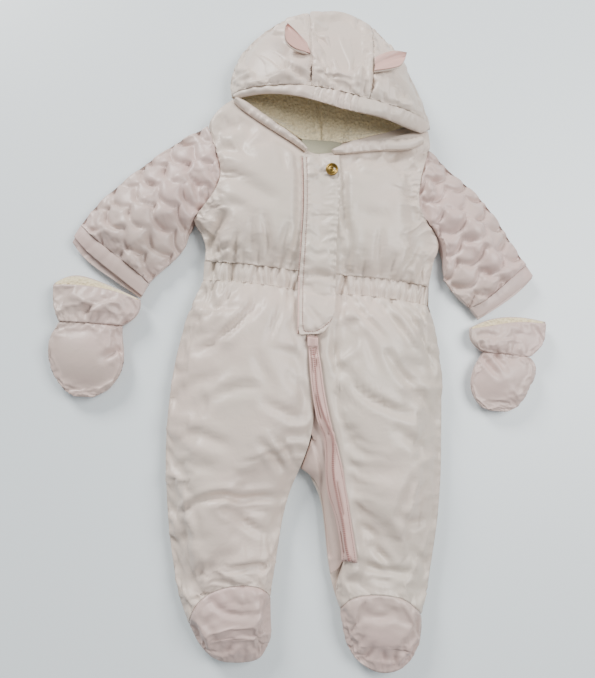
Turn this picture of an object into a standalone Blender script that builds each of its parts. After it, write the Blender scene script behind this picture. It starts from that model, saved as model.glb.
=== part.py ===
"""Baby snowsuit, padded and footed, laid flat on its back with its two mittens.

Metres, +Z up, +Y towards the hood. "Left" and "right" are the viewer's, looking down on the suit.
Plan sizes are in millimetres, measured from the foot of the storm flap, and moved by SHIFT at the end.
Each padded layer is a solid of its own: the back layers lie on the ground and the front layers on them.
"""
import bmesh
import bpy
import numpy as np
from mathutils import Vector
from mathutils.bvhtree import BVHTree

MM = 0.001
SHIFT = Vector((-8.0, -21.3, 0.0))   # brings the middle of the suit's box to the origin

GAP = 0.3             # between pieces, at seams and between layers
EDGE = 2.5            # thickness of a padded layer where it is sewn at a side seam
BODY_SPLIT = 12.0     # height of the join between back and front layers: body and legs
ARM_SPLIT = 9.0       # the same in the sleeves
MITTEN_SPLIT = 10.0   # the same in the mittens
SIDE_ROUND = 42.0     # how far in from a side seam the padding swells to its full height
SEAM_ROUND = 15.0     # the same beside a seam that crosses the top
UNDER_ROUND = 13.0    # how far in from a side seam the underside reaches the ground

SHELL_COLOUR = (0.73, 0.64, 0.61)
QUILT_COLOUR = (0.66, 0.57, 0.56)
PINK_COLOUR = (0.80, 0.58, 0.54)
CREAM_COLOUR = (0.76, 0.70, 0.58)
FACING_COLOUR = (0.50, 0.48, 0.40)
BRASS_COLOUR = (0.62, 0.44, 0.16)

FRONT_STEPS = (0, 0.05, 0.14, 0.29, 0.5, 0.71, 0.86, 0.95, 1)   # shares of a row's length at its points
BACK_STEPS = (0, 0.04, 0.11, 0.5, 0.89, 0.96, 1)
SMALL_STEPS = (0, 0.07, 0.25, 0.5, 0.75, 0.93, 1)

SIDE = 0.0            # an edge on the outline, where the layers come together
SEAM = 0.75           # an edge at a seam on top: share of the full height that is left there

# Key rows of each padded piece: the plan points of a line across it, then its height at the middle,
# then what its first and last points lie on (SIDE or SEAM).
WAIST_TOP_LEFT = [(-108, 86), (-40, 80), (21, 73)]
WAIST_TOP_RIGHT = [(21, 73), (90, 68), (153, 60)]
WAIST_LOW_LEFT = [(-109, 64), (-45, 60), (20, 50)]
WAIST_LOW_RIGHT = [(20, 50), (85, 47), (152, 38)]
NECK_LEFT = [(-107, 249), (-95, 268), (-84, 283), (-38, 254), (10, 219), (24, 217.5)]
NECK_RIGHT = [(24, 217.5), (41, 219), (100, 237), (150, 250), (157, 240), (157, 228)]

BODICE_LEFT = [
    # line across                      height  outer  inner
    (WAIST_TOP_LEFT,                     29, SIDE, SEAM),
    ([(-107, 104), (22, 96)],            33, SIDE, SEAM),
    ([(-114, 123), (23, 120)],           35, SIDE, SEAM),
    ([(-121, 134), (24, 138)],           36, 0.30, SEAM),
    ([(-107, 151), (25, 155)],           36, SEAM, SEAM),
    ([(-93, 175), (25, 172)],            35, SEAM, SEAM),
    ([(-92, 203), (25, 188)],            34, SEAM, SEAM),
    (NECK_LEFT,                          29, 0.45, SEAM),
]
BODICE_RIGHT = [
    (WAIST_TOP_RIGHT,                    29, SEAM, SIDE),
    ([(22, 96), (159, 90)],              33, SEAM, SIDE),
    ([(23, 120), (166, 112)],            35, SEAM, SIDE),
    ([(24, 138), (155, 131)],            36, SEAM, 0.30),
    ([(25, 155), (141, 151)],            36, SEAM, SEAM),
    ([(25, 172), (141, 172)],            35, SEAM, SEAM),
    ([(25, 188), (146, 198)],            34, SEAM, SEAM),
    (NECK_RIGHT,                         29, SEAM, 0.45),
]
WAIST_LEFT = [(WAIST_LOW_LEFT, 27, SIDE, SEAM), (WAIST_TOP_LEFT, 27, SIDE, SEAM)]
WAIST_RIGHT = [(WAIST_LOW_RIGHT, 27, SEAM, SIDE), (WAIST_TOP_RIGHT, 27, SEAM, SIDE)]

TOE_SEAM_LEFT = [(-116, -309), (-110, -286), (-92, -272), (-66, -267), (-42, -270), (-30, -282)]
TOE_SEAM_RIGHT = [(45, -296), (58, -281), (88, -279), (114, -284), (134, -304)]
TOE_TIP_LEFT = [(-98, -337), (-84, -347), (-62, -349), (-45, -347), (-37, -340)]
TOE_TIP_RIGHT = [(62, -348), (78, -360), (95, -364), (110, -360), (122, -350)]

LEG_LEFT = [
    (WAIST_LOW_LEFT,                     29, SIDE, SEAM),
    ([(-122, 32), (18, 20)],             36, SIDE, SEAM),
    ([(-134, -4), (17, -14)],            39, SIDE, SEAM),
    ([(-142, -50), (16.4, -52)],         40, SIDE, SEAM),
    ([(-146, -100), (16.6, -100)],       40, SIDE, SEAM),
    ([(-146, -135), (7, -132)],          39, SIDE, 0.60),
    ([(-145, -157), (0, -149)],          38, SIDE, 0.20),
    ([(-143, -182), (-12, -176)],        38, SIDE, SIDE),
    ([(-140, -214), (-20, -212)],        36, SIDE, SIDE),
    ([(-134, -250), (-25, -250)],        36, SIDE, SIDE),
    ([(-127, -284), (-95, -262), (-66, -257), (-42, -260), (-29, -271)], 36, SIDE, SIDE),
    (TOE_SEAM_LEFT,                      35, SIDE, SIDE),
]
LEG_RIGHT_FRONT = [
    (WAIST_LOW_RIGHT,                    29, SEAM, SIDE),
    ([(18, 20), (157, 22)],              36, SEAM, SIDE),
    ([(17, -14), (163, -12)],            39, SEAM, SIDE),
    ([(18, -52), (165, -50)],            40, SEAM, SIDE),
    ([(28, -98), (163, -95)],            40, SEAM, SIDE),
    ([(35, -118), (162, -120)],          39, SEAM, SIDE),
    ([(36, -150), (161, -150)],          38, SEAM, SIDE),
    ([(40, -178), (158, -180)],          37, SEAM, SIDE),
    ([(47, -210), (154, -213)],          36, 0.60, SIDE),
    ([(52, -244), (147, -246)],          36, 0.50, SIDE),
    ([(37, -276), (58, -266), (88, -266), (116, -268), (142, -276)], 36, SIDE, SIDE),
    (TOE_SEAM_RIGHT,                     36, SIDE, SIDE),
]
LEG_RIGHT_BACK = [
    (WAIST_LOW_RIGHT,                    29, SEAM, SIDE),
    ([(18, 20), (157, 22)],              36, SEAM, SIDE),
    ([(17, -14), (163, -12)],            39, SEAM, SIDE),
    ([(17, -52), (165, -50)],            40, SEAM, SIDE),
    ([(17, -100), (163, -95)],           40, SEAM, SIDE),
    ([(8, -132), (162, -122)],           39, SEAM, SIDE),
    ([(10, -152), (161, -150)],          38, SIDE, SIDE),
    ([(25, -176), (158, -180)],          37, SIDE, SIDE),
    ([(29, -210), (154, -213)],          36, SIDE, SIDE),
    ([(32, -246), (147, -246)],          36, SIDE, SIDE),
    ([(37, -274), (142, -274)],          36, SIDE, SIDE),
    (TOE_SEAM_RIGHT,                     36, SIDE, SIDE),
]
GUSSET = [
    ([(17.5, -101), (27, -101)],         31, SEAM, SEAM),
    ([(14, -114), (33, -114)],           30, SEAM, SEAM),
    ([(8, -131), (35, -131)],            29, SEAM, SEAM),
    ([(2.5, -147), (35.5, -147)],        28, 0.30, SEAM),
    ([(16, -156), (36, -158)],           27, SIDE, SEAM),
    ([(24, -170), (38.5, -172)],         27, SIDE, SEAM),
    ([(27, -190), (42, -190)],           27, SIDE, SEAM),
    ([(29, -210), (46.5, -210)],         27, SIDE, SEAM),
    ([(31, -230), (49.5, -230)],         26, SIDE, SEAM),
    ([(33, -248), (50, -244)],           25, SIDE, SEAM),
    ([(35, -260), (41.5, -256)],         20, SIDE, SEAM),
]
FOOT_LEFT = [
    (TOE_SEAM_LEFT,                      35, SIDE, SIDE),
    ([(-111, -319), (-30, -303)],        37, SIDE, SIDE),
    ([(-106, -328), (-29, -322)],        34, SIDE, SIDE),
    (TOE_TIP_LEFT,                       24, SIDE, SIDE),
]
FOOT_RIGHT = [
    (TOE_SEAM_RIGHT,                     36, SIDE, SIDE),
    ([(49, -318), (132, -324)],          38, SIDE, SIDE),
    ([(54, -336), (127, -341)],          34, SIDE, SIDE),
    (TOE_TIP_RIGHT,                      24, SIDE, SIDE),
]

ARMPIT_SPLAY = 4.5     # how far the sleeve's lower end stands out from the bodice's

SLEEVE_HEM_LEFT = [(-250, 127), (-227, 106), (-193, 80), (-171, 61)]
SLEEVE_HEM_RIGHT = [(273, 90), (252, 73), (222, 47), (203, 37)]
SLEEVE_LEFT = [
    ([(-109, 250), (-95, 222), (-93, 190), (-102, 161), (-123, 135)], 30, 0.45, 0.30),
    ([(-141, 232), (-135, 190), (-135, 150), (-132, 130), (-127, 118)], 30, SIDE, SIDE),
    ([(-176, 205), (-131, 103)],         30, SIDE, SIDE),
    ([(-208, 177), (-145, 86)],          30, SIDE, SIDE),
    ([(-234, 150), (-161, 73)],          28, SIDE, SIDE),
    (SLEEVE_HEM_LEFT,                    23, SIDE, SIDE),
]
SLEEVE_RIGHT = [
    ([(159, 228), (145, 198), (142.5, 160), (156, 133), (168, 121)],  30, 0.45, 0.30),
    ([(184, 204), (165, 170), (164, 140), (172, 107)],                30, SIDE, SIDE),
    ([(212, 180), (172, 88)],            30, SIDE, SIDE),
    ([(236, 151), (174, 68)],            30, SIDE, SIDE),
    ([(258, 113), (187, 51)],            28, SIDE, SIDE),
    (SLEEVE_HEM_RIGHT,                   23, SIDE, SIDE),
]
SLEEVE_MOUTH_LEFT = [(-257, 114), (-240, 95), (-214, 74), (-178, 46)]
SLEEVE_RIM_LEFT = [(-259, 108), (-244, 88), (-219, 70), (-180, 44)]
SLEEVE_MOUTH_RIGHT = [(281, 77), (262, 60), (238, 42), (212, 26)]
SLEEVE_RIM_RIGHT = [(281, 75), (263, 57), (239, 40), (213, 24)]

MITTEN_LEFT = [
    ([(-268, 15), (-199, 11)],           21, SIDE, SIDE),
    ([(-276, 0), (-199, -1)],            27, SIDE, SIDE),
    ([(-278, -14), (-196, -16)],         30, SIDE, SIDE),
    ([(-276, -32), (-196, -34)],         30, SIDE, SIDE),
    ([(-269, -48), (-202, -49)],         27, SIDE, SIDE),
    ([(-259, -61), (-213, -62)],         22, SIDE, SIDE),
    ([(-248, -68), (-228, -69)],         15, SIDE, SIDE),
]
MITTEN_RIGHT = [
    ([(217, -15), (271, -21)],           21, SIDE, SIDE),
    ([(207, -28), (278, -29)],           27, SIDE, SIDE),
    ([(202, -42), (277, -40)],           30, SIDE, SIDE),
    ([(200, -55), (271, -53)],           29, SIDE, SIDE),
    ([(204, -69), (263, -68)],           25, SIDE, SIDE),
    ([(213, -79), (253, -79)],           20, SIDE, SIDE),
    ([(224, -83), (242, -84)],           15, SIDE, SIDE),
]
CUFF_LEFT = [
    ([(-268, 15), (-199, 11)],           21, SIDE, SIDE),
    ([(-273, 27), (-184, 21)],           25, SIDE, SIDE),
    ([(-276, 42), (-179, 33)],           24, SIDE, SIDE),
    ([(-276, 57), (-245, 57), (-212, 52), (-180, 40)], 20, SIDE, SIDE),
]
CUFF_RIGHT = [
    ([(217, -15), (271, -21)],           21, SIDE, SIDE),
    ([(205, -6), (285, -9)],             25, SIDE, SIDE),
    ([(201, 3), (291, 7)],               24, SIDE, SIDE),
    ([(202, 12), (223, 15), (255, 21), (292, 19)], 20, SIDE, SIDE),
]
CUFF_BACK_RIM_LEFT = [(-277, 59), (-256, 72), (-226, 63), (-180, 42)]
CUFF_BACK_RIM_RIGHT = [(202, 14), (230, 26), (262, 28), (294, 22)]

# The hood, a hollow bag lying on its back. A row runs from the face opening to the far end, where the bag
# closes: side, top seam and bottom seam points on the left, the same on the right, then two heights.
HOOD_COLUMNS = ("side_l", "top_l", "low_l", "side_r", "top_r", "low_r", "top", "low")
HOOD = [
    ((-80, 288), (12, 284), (11, 222), (160, 256), (79, 270), (40, 222), 58, 17),
    ((-82, 304), (12, 303), (11, 243), (153, 284), (82, 291), (42, 242), 62, 2),
    ((-75, 331), (12, 325), (11, 272), (143, 309), (84, 312), (46, 270), 60, 0),
    ((-60, 356), (12, 347), (11, 305), (130, 336), (85, 334), (55, 302), 54, 0),
    ((-38, 376), (12, 368), (12, 336), (117, 357), (87, 354), (65, 332), 44, 0),
    ((-12, 393), (12, 388), (13, 368), (104, 373), (89, 371), (79, 359), 31, 0),
    ((14, 404), (14, 404), (14, 404), (91, 387), (91, 387), (91, 387), 15, 15),
]
HOOD_SIDE_HEIGHT = 15.0   # of the hood's widest line above the ground
HOOD_LIP_SAG = 4.0        # how far the lower lip dips between the neck and the corners
HOOD_END_BOW = 9.0        # how far the far end arches past its two corners
HOOD_ROWS = 8
HOOD_WALL = 6.0           # padded shell
LINING = 2.5              # pile lining
LINING_CLEAR = 1.1        # between the lining and the inside of the shell
LINING_RECESS = 0.45      # share of the first row's depth at which the lining begins
LINING_DRAW = 0.016       # share by which the lining bag is narrower than the shell's inside
FACING = 1.5
BRIM_EDGE = [(-76, 281, 27), (-52, 280, 42), (-20, 275, 54), (8, 269, 58), (32, 261, 60),
             (61, 254, 59), (99, 251, 52), (127, 246, 41), (150, 245, 31)]
RIM_LEFT = [((-77, 276), (-71, 280)), ((-68, 267), (-60, 276)), ((-39, 247), (-30, 254)),
            ((-7, 227), (-2, 234)), ((7, 216), (10, 220))]
RIM_RIGHT = [((41, 214), (38, 220)), ((66, 216), (62, 231)), ((92, 219), (92, 233)),
             ((127, 221), (127, 236)), ((147, 230), (144, 239))]
RIM_HEIGHT = 8.0

FLAP_EDGE_LEFT = [(4, 211), (5, 154), (2, 101), (-1, 55), (-3, 3), (0, -1)]
FLAP_EDGE_RIGHT = [(46, 211), (47, 179), (45, 147), (42, 106), (40, 30), (26, 1)]
FLAP_THICK = 3.5
SNAP_PLACE = (37, 192)
SNAP_RADIUS = 7.4
ZIP_LINE = [(14, -4), (17, -50), (20, -70), (27, -95), (35, -112), (36, -150), (40, -177),
            (46, -205), (52, -243)]
TAPE_WIDTH = 6.5
CHAIN_WIDTH = 4.6
TAPE_THICK = 1.2
CHAIN_THICK = 2.0
GARAGE = [((8, -4), (20, -4)), ((8, -15), (20, -15))]

EAR_LEFT = [((13, 346), (12, 323), 0), ((2, 353), (-10, 328), 7), ((-10, 360), (-21, 340), 12),
            ((-17, 365), (-20, 362), 15)]
EAR_RIGHT = [((85, 324), (85, 303), 0), ((98, 330), (101, 303), 6), ((112, 332), (117, 308), 11),
             ((123, 332), (122, 327), 13)]
EAR_LAYER = 2.0

collection = None


def make_material(name, colour, roughness, metallic=0.0):
    """A plain Principled material with the piece's colour."""
    material = bpy.data.materials.new(name)
    material.use_nodes = True
    shader = material.node_tree.nodes["Principled BSDF"]
    shader.inputs["Base Color"].default_value = (*colour, 1.0)
    shader.inputs["Roughness"].default_value = roughness
    shader.inputs["Metallic"].default_value = metallic
    return material


def through(points, steps):
    """Points along a smooth line through the given ones: so many even steps, or at the given shares."""
    points = np.array(points, dtype=float)
    shares = np.linspace(0, 1, steps) if isinstance(steps, int) else np.array(steps)
    if len(points) == len(shares) and len(points) > 4:
        return points
    padded = np.vstack([2 * points[0] - points[1], points, 2 * points[-1] - points[-2]])
    fine = 8
    line = [points[0]]
    for i in range(len(points) - 1):
        p0, p1, p2, p3 = padded[i:i + 4]
        for k in range(1, fine + 1):
            t = k / fine
            line.append(0.5 * (2 * p1 + (p2 - p0) * t + (2 * p0 - 5 * p1 + 4 * p2 - p3) * t ** 2
                               + (3 * p1 - p0 - 3 * p2 + p3) * t ** 3))
    line = np.array(line)
    travelled = np.concatenate([[0], np.cumsum(np.linalg.norm(np.diff(line, axis=0), axis=1))])
    places = shares * travelled[-1]
    return np.stack([np.interp(places, travelled, line[:, i]) for i in range(line.shape[1])], axis=1)


def between_rows(values, count):
    """Smooth rows between key rows, evenly spread over the key rows."""
    values = np.array(values, dtype=float)
    padded = np.concatenate([[2 * values[0] - values[1]], values, [2 * values[-1] - values[-2]]])
    rows = []
    for place in np.linspace(0, len(values) - 1, count):
        i = min(int(place), len(values) - 2)
        t = place - i
        p0, p1, p2, p3 = padded[i:i + 4]
        rows.append(0.5 * (2 * p1 + (p2 - p0) * t + (2 * p0 - 5 * p1 + 4 * p2 - p3) * t ** 2
                           + (3 * p1 - p0 - 3 * p2 + p3) * t ** 3))
    return np.array(rows)


def plan_of(table, along, steps):
    """The plan grid of a table's key rows, with its heights and edge shares by row."""
    plan = between_rows([through(row[0], steps) for row in table], along + 1)
    heights = between_rows([[row[1]] for row in table], along + 1)[:, 0]
    first = np.interp(np.linspace(0, len(table) - 1, along + 1), range(len(table)), [row[2] for row in table])
    last = np.interp(np.linspace(0, len(table) - 1, along + 1), range(len(table)), [row[3] for row in table])
    return plan, heights, first, last


def inset(plan, first, last, start, end):
    """Draws the grid's edges in by the seam gap where asked, keeping its inner points."""
    plan = plan.copy()

    def pull(edge, inner):
        away = inner - edge
        return edge + away / np.linalg.norm(away, axis=-1, keepdims=True) * GAP / 2

    if first:
        plan[:, 0] = pull(plan[:, 0], plan[:, 1])
    if last:
        plan[:, -1] = pull(plan[:, -1], plan[:, -2])
    if start:
        plan[0] = pull(plan[0], plan[1])
    if end:
        plan[-1] = pull(plan[-1], plan[-2])
    return plan


def rise(distance, reach):
    """Quarter-round from 0 at an edge to 1 at the given reach."""
    share = np.clip(distance / reach, 0, 1)
    return np.sqrt(1 - (1 - share) ** 2)


def edge_distances(plan):
    """Distance of each grid point from its row's two ends and its column's two ends."""
    across = np.linalg.norm(np.diff(plan, axis=1), axis=2)
    along = np.linalg.norm(np.diff(plan, axis=0), axis=2)
    from_first = np.concatenate([np.zeros((len(plan), 1)), np.cumsum(across, axis=1)], axis=1)
    from_start = np.concatenate([np.zeros((1, plan.shape[1])), np.cumsum(along, axis=0)], axis=0)
    return from_first, from_first[:, -1:] - from_first, from_start, from_start[-1:] - from_start


def swell(plan, heights, first, last, start, end, base):
    """Top heights: a padded layer that thins at its seams and rounds down at its sides."""
    shares = (first[:, None], last[:, None], start, end)
    fullness = np.ones(plan.shape[:2])
    for distance, share in zip(edge_distances(plan), shares):
        reach = SIDE_ROUND + (SEAM_ROUND - SIDE_ROUND) * np.asarray(share) / SEAM
        fullness *= share + (1 - share) * rise(distance, reach)
    return base + (heights[:, None] - base) * fullness


def under(plan, first, last, start, end, lift):
    """Heights of a back layer's underside: flat on the ground, turned up at the outline."""
    flat = np.ones(plan.shape[:2])
    for distance, share in zip(edge_distances(plan), (first[:, None], last[:, None], start, end)):
        seam = np.minimum(np.asarray(share) / SEAM, 1)
        flat *= seam + (1 - seam) * rise(distance, UNDER_ROUND)
    return lift * (1 - flat)


def add_object(name, vertices, faces, material, smooth=True):
    """One closed object from points in millimetres."""
    mesh = bpy.data.meshes.new(name)
    mesh.from_pydata([(Vector(v) + SHIFT) * MM for v in vertices], [], faces)
    mesh.materials.append(material)
    mesh.validate()
    if smooth:
        mesh.shade_smooth()
        mesh.set_sharp_from_angle(angle=0.9)
    obj = bpy.data.objects.new(name, mesh)
    collection.objects.link(obj)
    return obj


def slab(name, top, bottom, material):
    """A closed solid between two grids of points, shape (rows, columns, 3)."""
    rows, columns = top.shape[:2]
    count = rows * columns
    vertices = points_of(top) + points_of(bottom)
    faces = []
    for r in range(rows - 1):
        for c in range(columns - 1):
            a, b = r * columns + c, r * columns + c + 1
            d, e = a + columns, b + columns
            faces += [(a, b, e), (a, e, d)]
            faces += [(count + a, count + e, count + b), (count + a, count + d, count + e)]
    border = [c for c in range(columns)]
    border += [r * columns + columns - 1 for r in range(1, rows)]
    border += [(rows - 1) * columns + c for c in range(columns - 2, -1, -1)]
    border += [r * columns for r in range(rows - 2, 0, -1)]
    for a, b in zip(border, border[1:] + border[:1]):
        faces += [(b, a, count + a), (b, count + a, count + b)]
    if signed_volume(vertices, faces) < 0:
        faces = [tuple(reversed(face)) for face in faces]
    return add_object(name, vertices, faces, material)


def points_of(grid):
    return [tuple(map(float, point)) for point in grid.reshape(-1, 3)]


def signed_volume(vertices, faces):
    """Volume of a triangle mesh, negative when it is inside out."""
    points = np.array(vertices)
    a, b, c = (points[[face[i] for face in faces]] for i in range(3))
    return float(np.einsum("ij,ij->i", a, np.cross(b, c)).sum())


def with_heights(plan, heights):
    return np.concatenate([plan, heights[..., None]], axis=2)


def front_layer(name, table, material, split, along, steps=FRONT_STEPS, start=SEAM, end=SEAM):
    """A padded layer that lies on the layer below it."""
    plan, heights, first, last = plan_of(table, along, steps)
    plan = inset(plan, first.max() > 0, last.max() > 0, start > 0, end > 0)
    base = split + GAP + EDGE
    top = swell(plan, heights, first, last, start, end, base)
    floor = np.full(plan.shape[:2], split + GAP)
    return slab(name, with_heights(plan, top), with_heights(plan, floor), material)


def back_layer(name, table, material, split, along, steps=BACK_STEPS, start=SEAM, end=SEAM):
    """A padded layer with its underside flat on the ground. Two tables are joined side by side."""
    joined = isinstance(table, tuple)
    plan, _, first, last = plan_of(table[0] if joined else table, along, steps)
    if joined:
        right, _, _, last = plan_of(table[1], along, steps)
        plan = np.concatenate([plan, right[:, 1:]], axis=1)
    plan = inset(plan, first.max() > 0, last.max() > 0, start > 0, end > 0)
    bottom = under(plan, first, last, start, end, split - EDGE)
    lid = np.full(plan.shape[:2], split)
    return slab(name, with_heights(plan, lid), with_heights(plan, bottom), material)


def armhole(left_or_right, steps_along):
    """The bodice's own edge points from the shoulder to the armpit, for the sleeve to start from."""
    table, column = left_or_right
    plan = plan_of(table, steps_along, FRONT_STEPS)[0]
    armpit = steps_along * 3 // (len(table) - 1)
    points = plan[armpit:, column][::-1].copy()
    outward = np.array((ARMPIT_SPLAY if column else -ARMPIT_SPLAY, 0.0))
    points[-1] += outward
    points[-2] += outward * 0.4
    points[-3] += outward * 0.1
    return points


def build_body(shell, pink):
    front_layer("bodice_front_left", BODICE_LEFT, shell, BODY_SPLIT, 14)
    front_layer("bodice_front_right", BODICE_RIGHT, shell, BODY_SPLIT, 14)
    back_layer("bodice_back", (BODICE_LEFT, BODICE_RIGHT), shell, BODY_SPLIT, 14)
    front_layer("waist_front_left", WAIST_LEFT, shell, BODY_SPLIT, 2)
    front_layer("waist_front_right", WAIST_RIGHT, shell, BODY_SPLIT, 2)
    back_layer("waist_back", (WAIST_LEFT, WAIST_RIGHT), shell, BODY_SPLIT, 2)
    front_layer("leg_front_left", LEG_LEFT, shell, BODY_SPLIT, 11)
    front_layer("leg_front_right", LEG_RIGHT_FRONT, shell, BODY_SPLIT, 11)
    back_layer("leg_back_left", LEG_LEFT, shell, BODY_SPLIT, 11)
    back_layer("leg_back_right", LEG_RIGHT_BACK, shell, BODY_SPLIT, 11)
    front_layer("gusset", GUSSET, pink, BODY_SPLIT, 10, (0, 0.5, 1))
    for side, foot in (("left", FOOT_LEFT), ("right", FOOT_RIGHT)):
        front_layer("toe_" + side, foot, shell, BODY_SPLIT, 5, end=SIDE)
        back_layer("sole_" + side, foot, shell, BODY_SPLIT, 5, end=SIDE)


def build_sleeves(quilt):
    sleeves = (("left", SLEEVE_LEFT, (BODICE_LEFT, 0), SLEEVE_HEM_LEFT, SLEEVE_MOUTH_LEFT, SLEEVE_RIM_LEFT),
               ("right", SLEEVE_RIGHT, (BODICE_RIGHT, -1), SLEEVE_HEM_RIGHT, SLEEVE_MOUTH_RIGHT, SLEEVE_RIM_RIGHT))
    for side, sleeve, bodice, hem, mouth, rim in sleeves:
        sleeve = [(armhole(bodice, 14), *sleeve[0][1:])] + sleeve[1:]
        front_hem = [(hem, 21, SIDE, SIDE), (mouth, 19, SIDE, SIDE)]
        back_hem = [(hem, 21, SIDE, SIDE), (rim, 19, SIDE, SIDE)]
        front_layer("sleeve_front_" + side, sleeve, quilt, ARM_SPLIT, 10)
        back_layer("sleeve_back_" + side, sleeve, quilt, ARM_SPLIT, 5, FRONT_STEPS)
        front_layer("sleeve_hem_front_" + side, front_hem, quilt, ARM_SPLIT, 2, end=0.5)
        back_layer("sleeve_hem_back_" + side, back_hem, quilt, ARM_SPLIT, 2, FRONT_STEPS, end=SIDE)


def build_mittens(shell, cream):
    mittens = (("left", MITTEN_LEFT, CUFF_LEFT, CUFF_BACK_RIM_LEFT),
               ("right", MITTEN_RIGHT, CUFF_RIGHT, CUFF_BACK_RIM_RIGHT))
    for side, hand, cuff, rim in mittens:
        back_cuff = cuff[:-1] + [(rim, 20, SIDE, SIDE)]
        front_layer("mitten_front_" + side, hand, shell, MITTEN_SPLIT, 6, SMALL_STEPS, end=SIDE)
        back_layer("mitten_back_" + side, hand, shell, MITTEN_SPLIT, 6, SMALL_STEPS, end=SIDE)
        lining_top = MITTEN_SPLIT + GAP + LINING
        front_layer("mitten_cuff_front_" + side, cuff, shell, lining_top, 3, SMALL_STEPS, end=0.4)
        back_layer("mitten_cuff_back_" + side, back_cuff, shell, MITTEN_SPLIT, 3, SMALL_STEPS, end=SIDE)
        plan = inset(plan_of(back_cuff, 3, SMALL_STEPS)[0], False, False, True, False)
        plan[:, 0] += (plan[:, 1] - plan[:, 0]) * 0.4
        plan[:, -1] += (plan[:, -2] - plan[:, -1]) * 0.4
        plan[-1] += (plan[-2] - plan[-1]) * 0.06
        low = np.full(plan.shape[:2], MITTEN_SPLIT + GAP)
        slab("mitten_lining_" + side, with_heights(plan, low + LINING), with_heights(plan, low), cream)


def hood_rings(rows):
    """Ring points of the hood's outer surface, row by row, and where its panels begin."""
    keys = {name: [row[i] if i > 5 else np.array(row[i], dtype=float) for row in HOOD]
            for i, name in enumerate(HOOD_COLUMNS)}
    keys = {name: between_rows(np.array(values, dtype=float).reshape(len(HOOD), -1), rows + 1)
            for name, values in keys.items()}
    arch = np.radians([0, 22, 42, 60, 76, 90])
    tuck = [0.0, 3.0, 9.0, 20.0, None]
    rings = []
    for r in range(rows + 1):
        at = {name: values[r] for name, values in keys.items()}
        top, low = float(at["top"][0]), max(float(at["low"][0]), 0.0)
        closing = r / rows

        def side(top_seam, outline, low_seam):
            points = []
            for angle in arch:
                spot = top_seam + (outline - top_seam) * np.sin(angle)
                points.append((*spot, HOOD_SIDE_HEIGHT + (top - HOOD_SIDE_HEIGHT) * np.cos(angle)))
            span = np.linalg.norm(low_seam - outline)
            for inward in tuck[1:]:
                share = 1.0
                if inward is not None:
                    share = min(inward / max(span, 1e-6), 0.2 * (tuck.index(inward) + 1))
                spot = outline + (low_seam - outline) * share
                drop = rise(np.float64(share * span), tuck[3])
                sag = HOOD_LIP_SAG * max(0.0, 1 - 4 * closing) * np.sin(np.pi * share ** 0.5)
                height = HOOD_SIDE_HEIGHT + (low - HOOD_SIDE_HEIGHT) * float(drop) - sag
                points.append((*spot, max(0.0, height)))
            return points

        def strip(a, b, height, bulge):
            points = []
            for share in np.linspace(0, 1, 5):
                spot = a + (b - a) * share
                bow = HOOD_END_BOW * closing ** 6 * 4 * share * (1 - share)
                points.append((spot[0] + bow * 0.22, spot[1] + bow, height + bulge * 4 * share * (1 - share)))
            return points

        left = side(at["top_l"], at["side_l"], at["low_l"])
        right = side(at["top_r"], at["side_r"], at["low_r"])
        crown = strip(at["top_l"], at["top_r"], top, 2.5 * (1 - closing ** 6))
        floor = strip(at["low_l"], at["low_r"], low, 0.0)
        ring = left + floor + right[::-1] + crown[::-1]
        rings.append(ring)
    counts = (len(left), len(floor), len(right), len(crown))
    return np.array(rings), counts


def part_seams(rings, counts):
    """Moves the columns beside each seam apart by the seam gap."""
    starts = np.cumsum((0,) + counts)
    total = rings.shape[1]
    moved = rings.copy()
    for start, clearance in zip(starts[:-1], (0.8, 2.0, 2.0, 0.8)):
        a, b = (start - 1) % total, start % total
        inner_a, inner_b = (a - 1) % total, (b + 1) % total
        for column, neighbour in ((a, inner_a), (b, inner_b)):
            away = rings[:, neighbour] - rings[:, column]
            length = np.linalg.norm(away, axis=1, keepdims=True)
            moved[:, column] += np.where(length > 1, away / np.maximum(length, 1e-6) * GAP * clearance, 0)
    return moved


def ring_normals(rings, counts):
    """Outward normals of the hood surface, shared where its points come together."""
    rows, columns = rings.shape[:2]
    normals = np.zeros_like(rings)
    for r in range(rows - 1):
        for c in range(columns):
            n = (c + 1) % columns
            for corners in (((r, c), (r + 1, c), (r + 1, n)), ((r, c), (r + 1, n), (r, n))):
                a, b, d = (rings[i] for i in corners)
                for corner in corners:
                    normals[corner] += np.cross(b - a, d - a)
    starts = np.cumsum((0,) + counts)
    for start in starts[:-1]:
        pair = [(start - 1) % columns, start % columns]
        normals[:, pair] = normals[:, pair].sum(axis=1, keepdims=True)
    left, floor, right, crown = (list(range(a, b)) for a, b in zip(starts, starts[1:]))
    groups = [left + [floor[0], crown[-1]], right + [floor[-1], crown[0]]]
    groups += [[low, high] for low, high in zip(floor[1:-1], crown[-2:0:-1])]
    for group in groups:
        normals[-1, group] = normals[-1, group].sum(axis=0)
    normals /= np.maximum(np.linalg.norm(normals, axis=2, keepdims=True), 1e-9)
    middle = rings.mean(axis=(0, 1))
    if ((rings[3] - middle) * normals[3]).sum() < 0:
        normals = -normals
    return normals


def clean(obj, distance=0.00002):
    """Welds coincident points and drops flat slivers, so that the solid is closed."""
    mesh = bmesh.new()
    mesh.from_mesh(obj.data)
    bmesh.ops.remove_doubles(mesh, verts=mesh.verts, dist=distance)
    bmesh.ops.dissolve_degenerate(mesh, dist=0.000001, edges=mesh.edges)
    bmesh.ops.triangulate(mesh, faces=mesh.faces)
    bmesh.ops.recalc_face_normals(mesh, faces=mesh.faces)
    mesh.to_mesh(obj.data)
    mesh.free()


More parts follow.
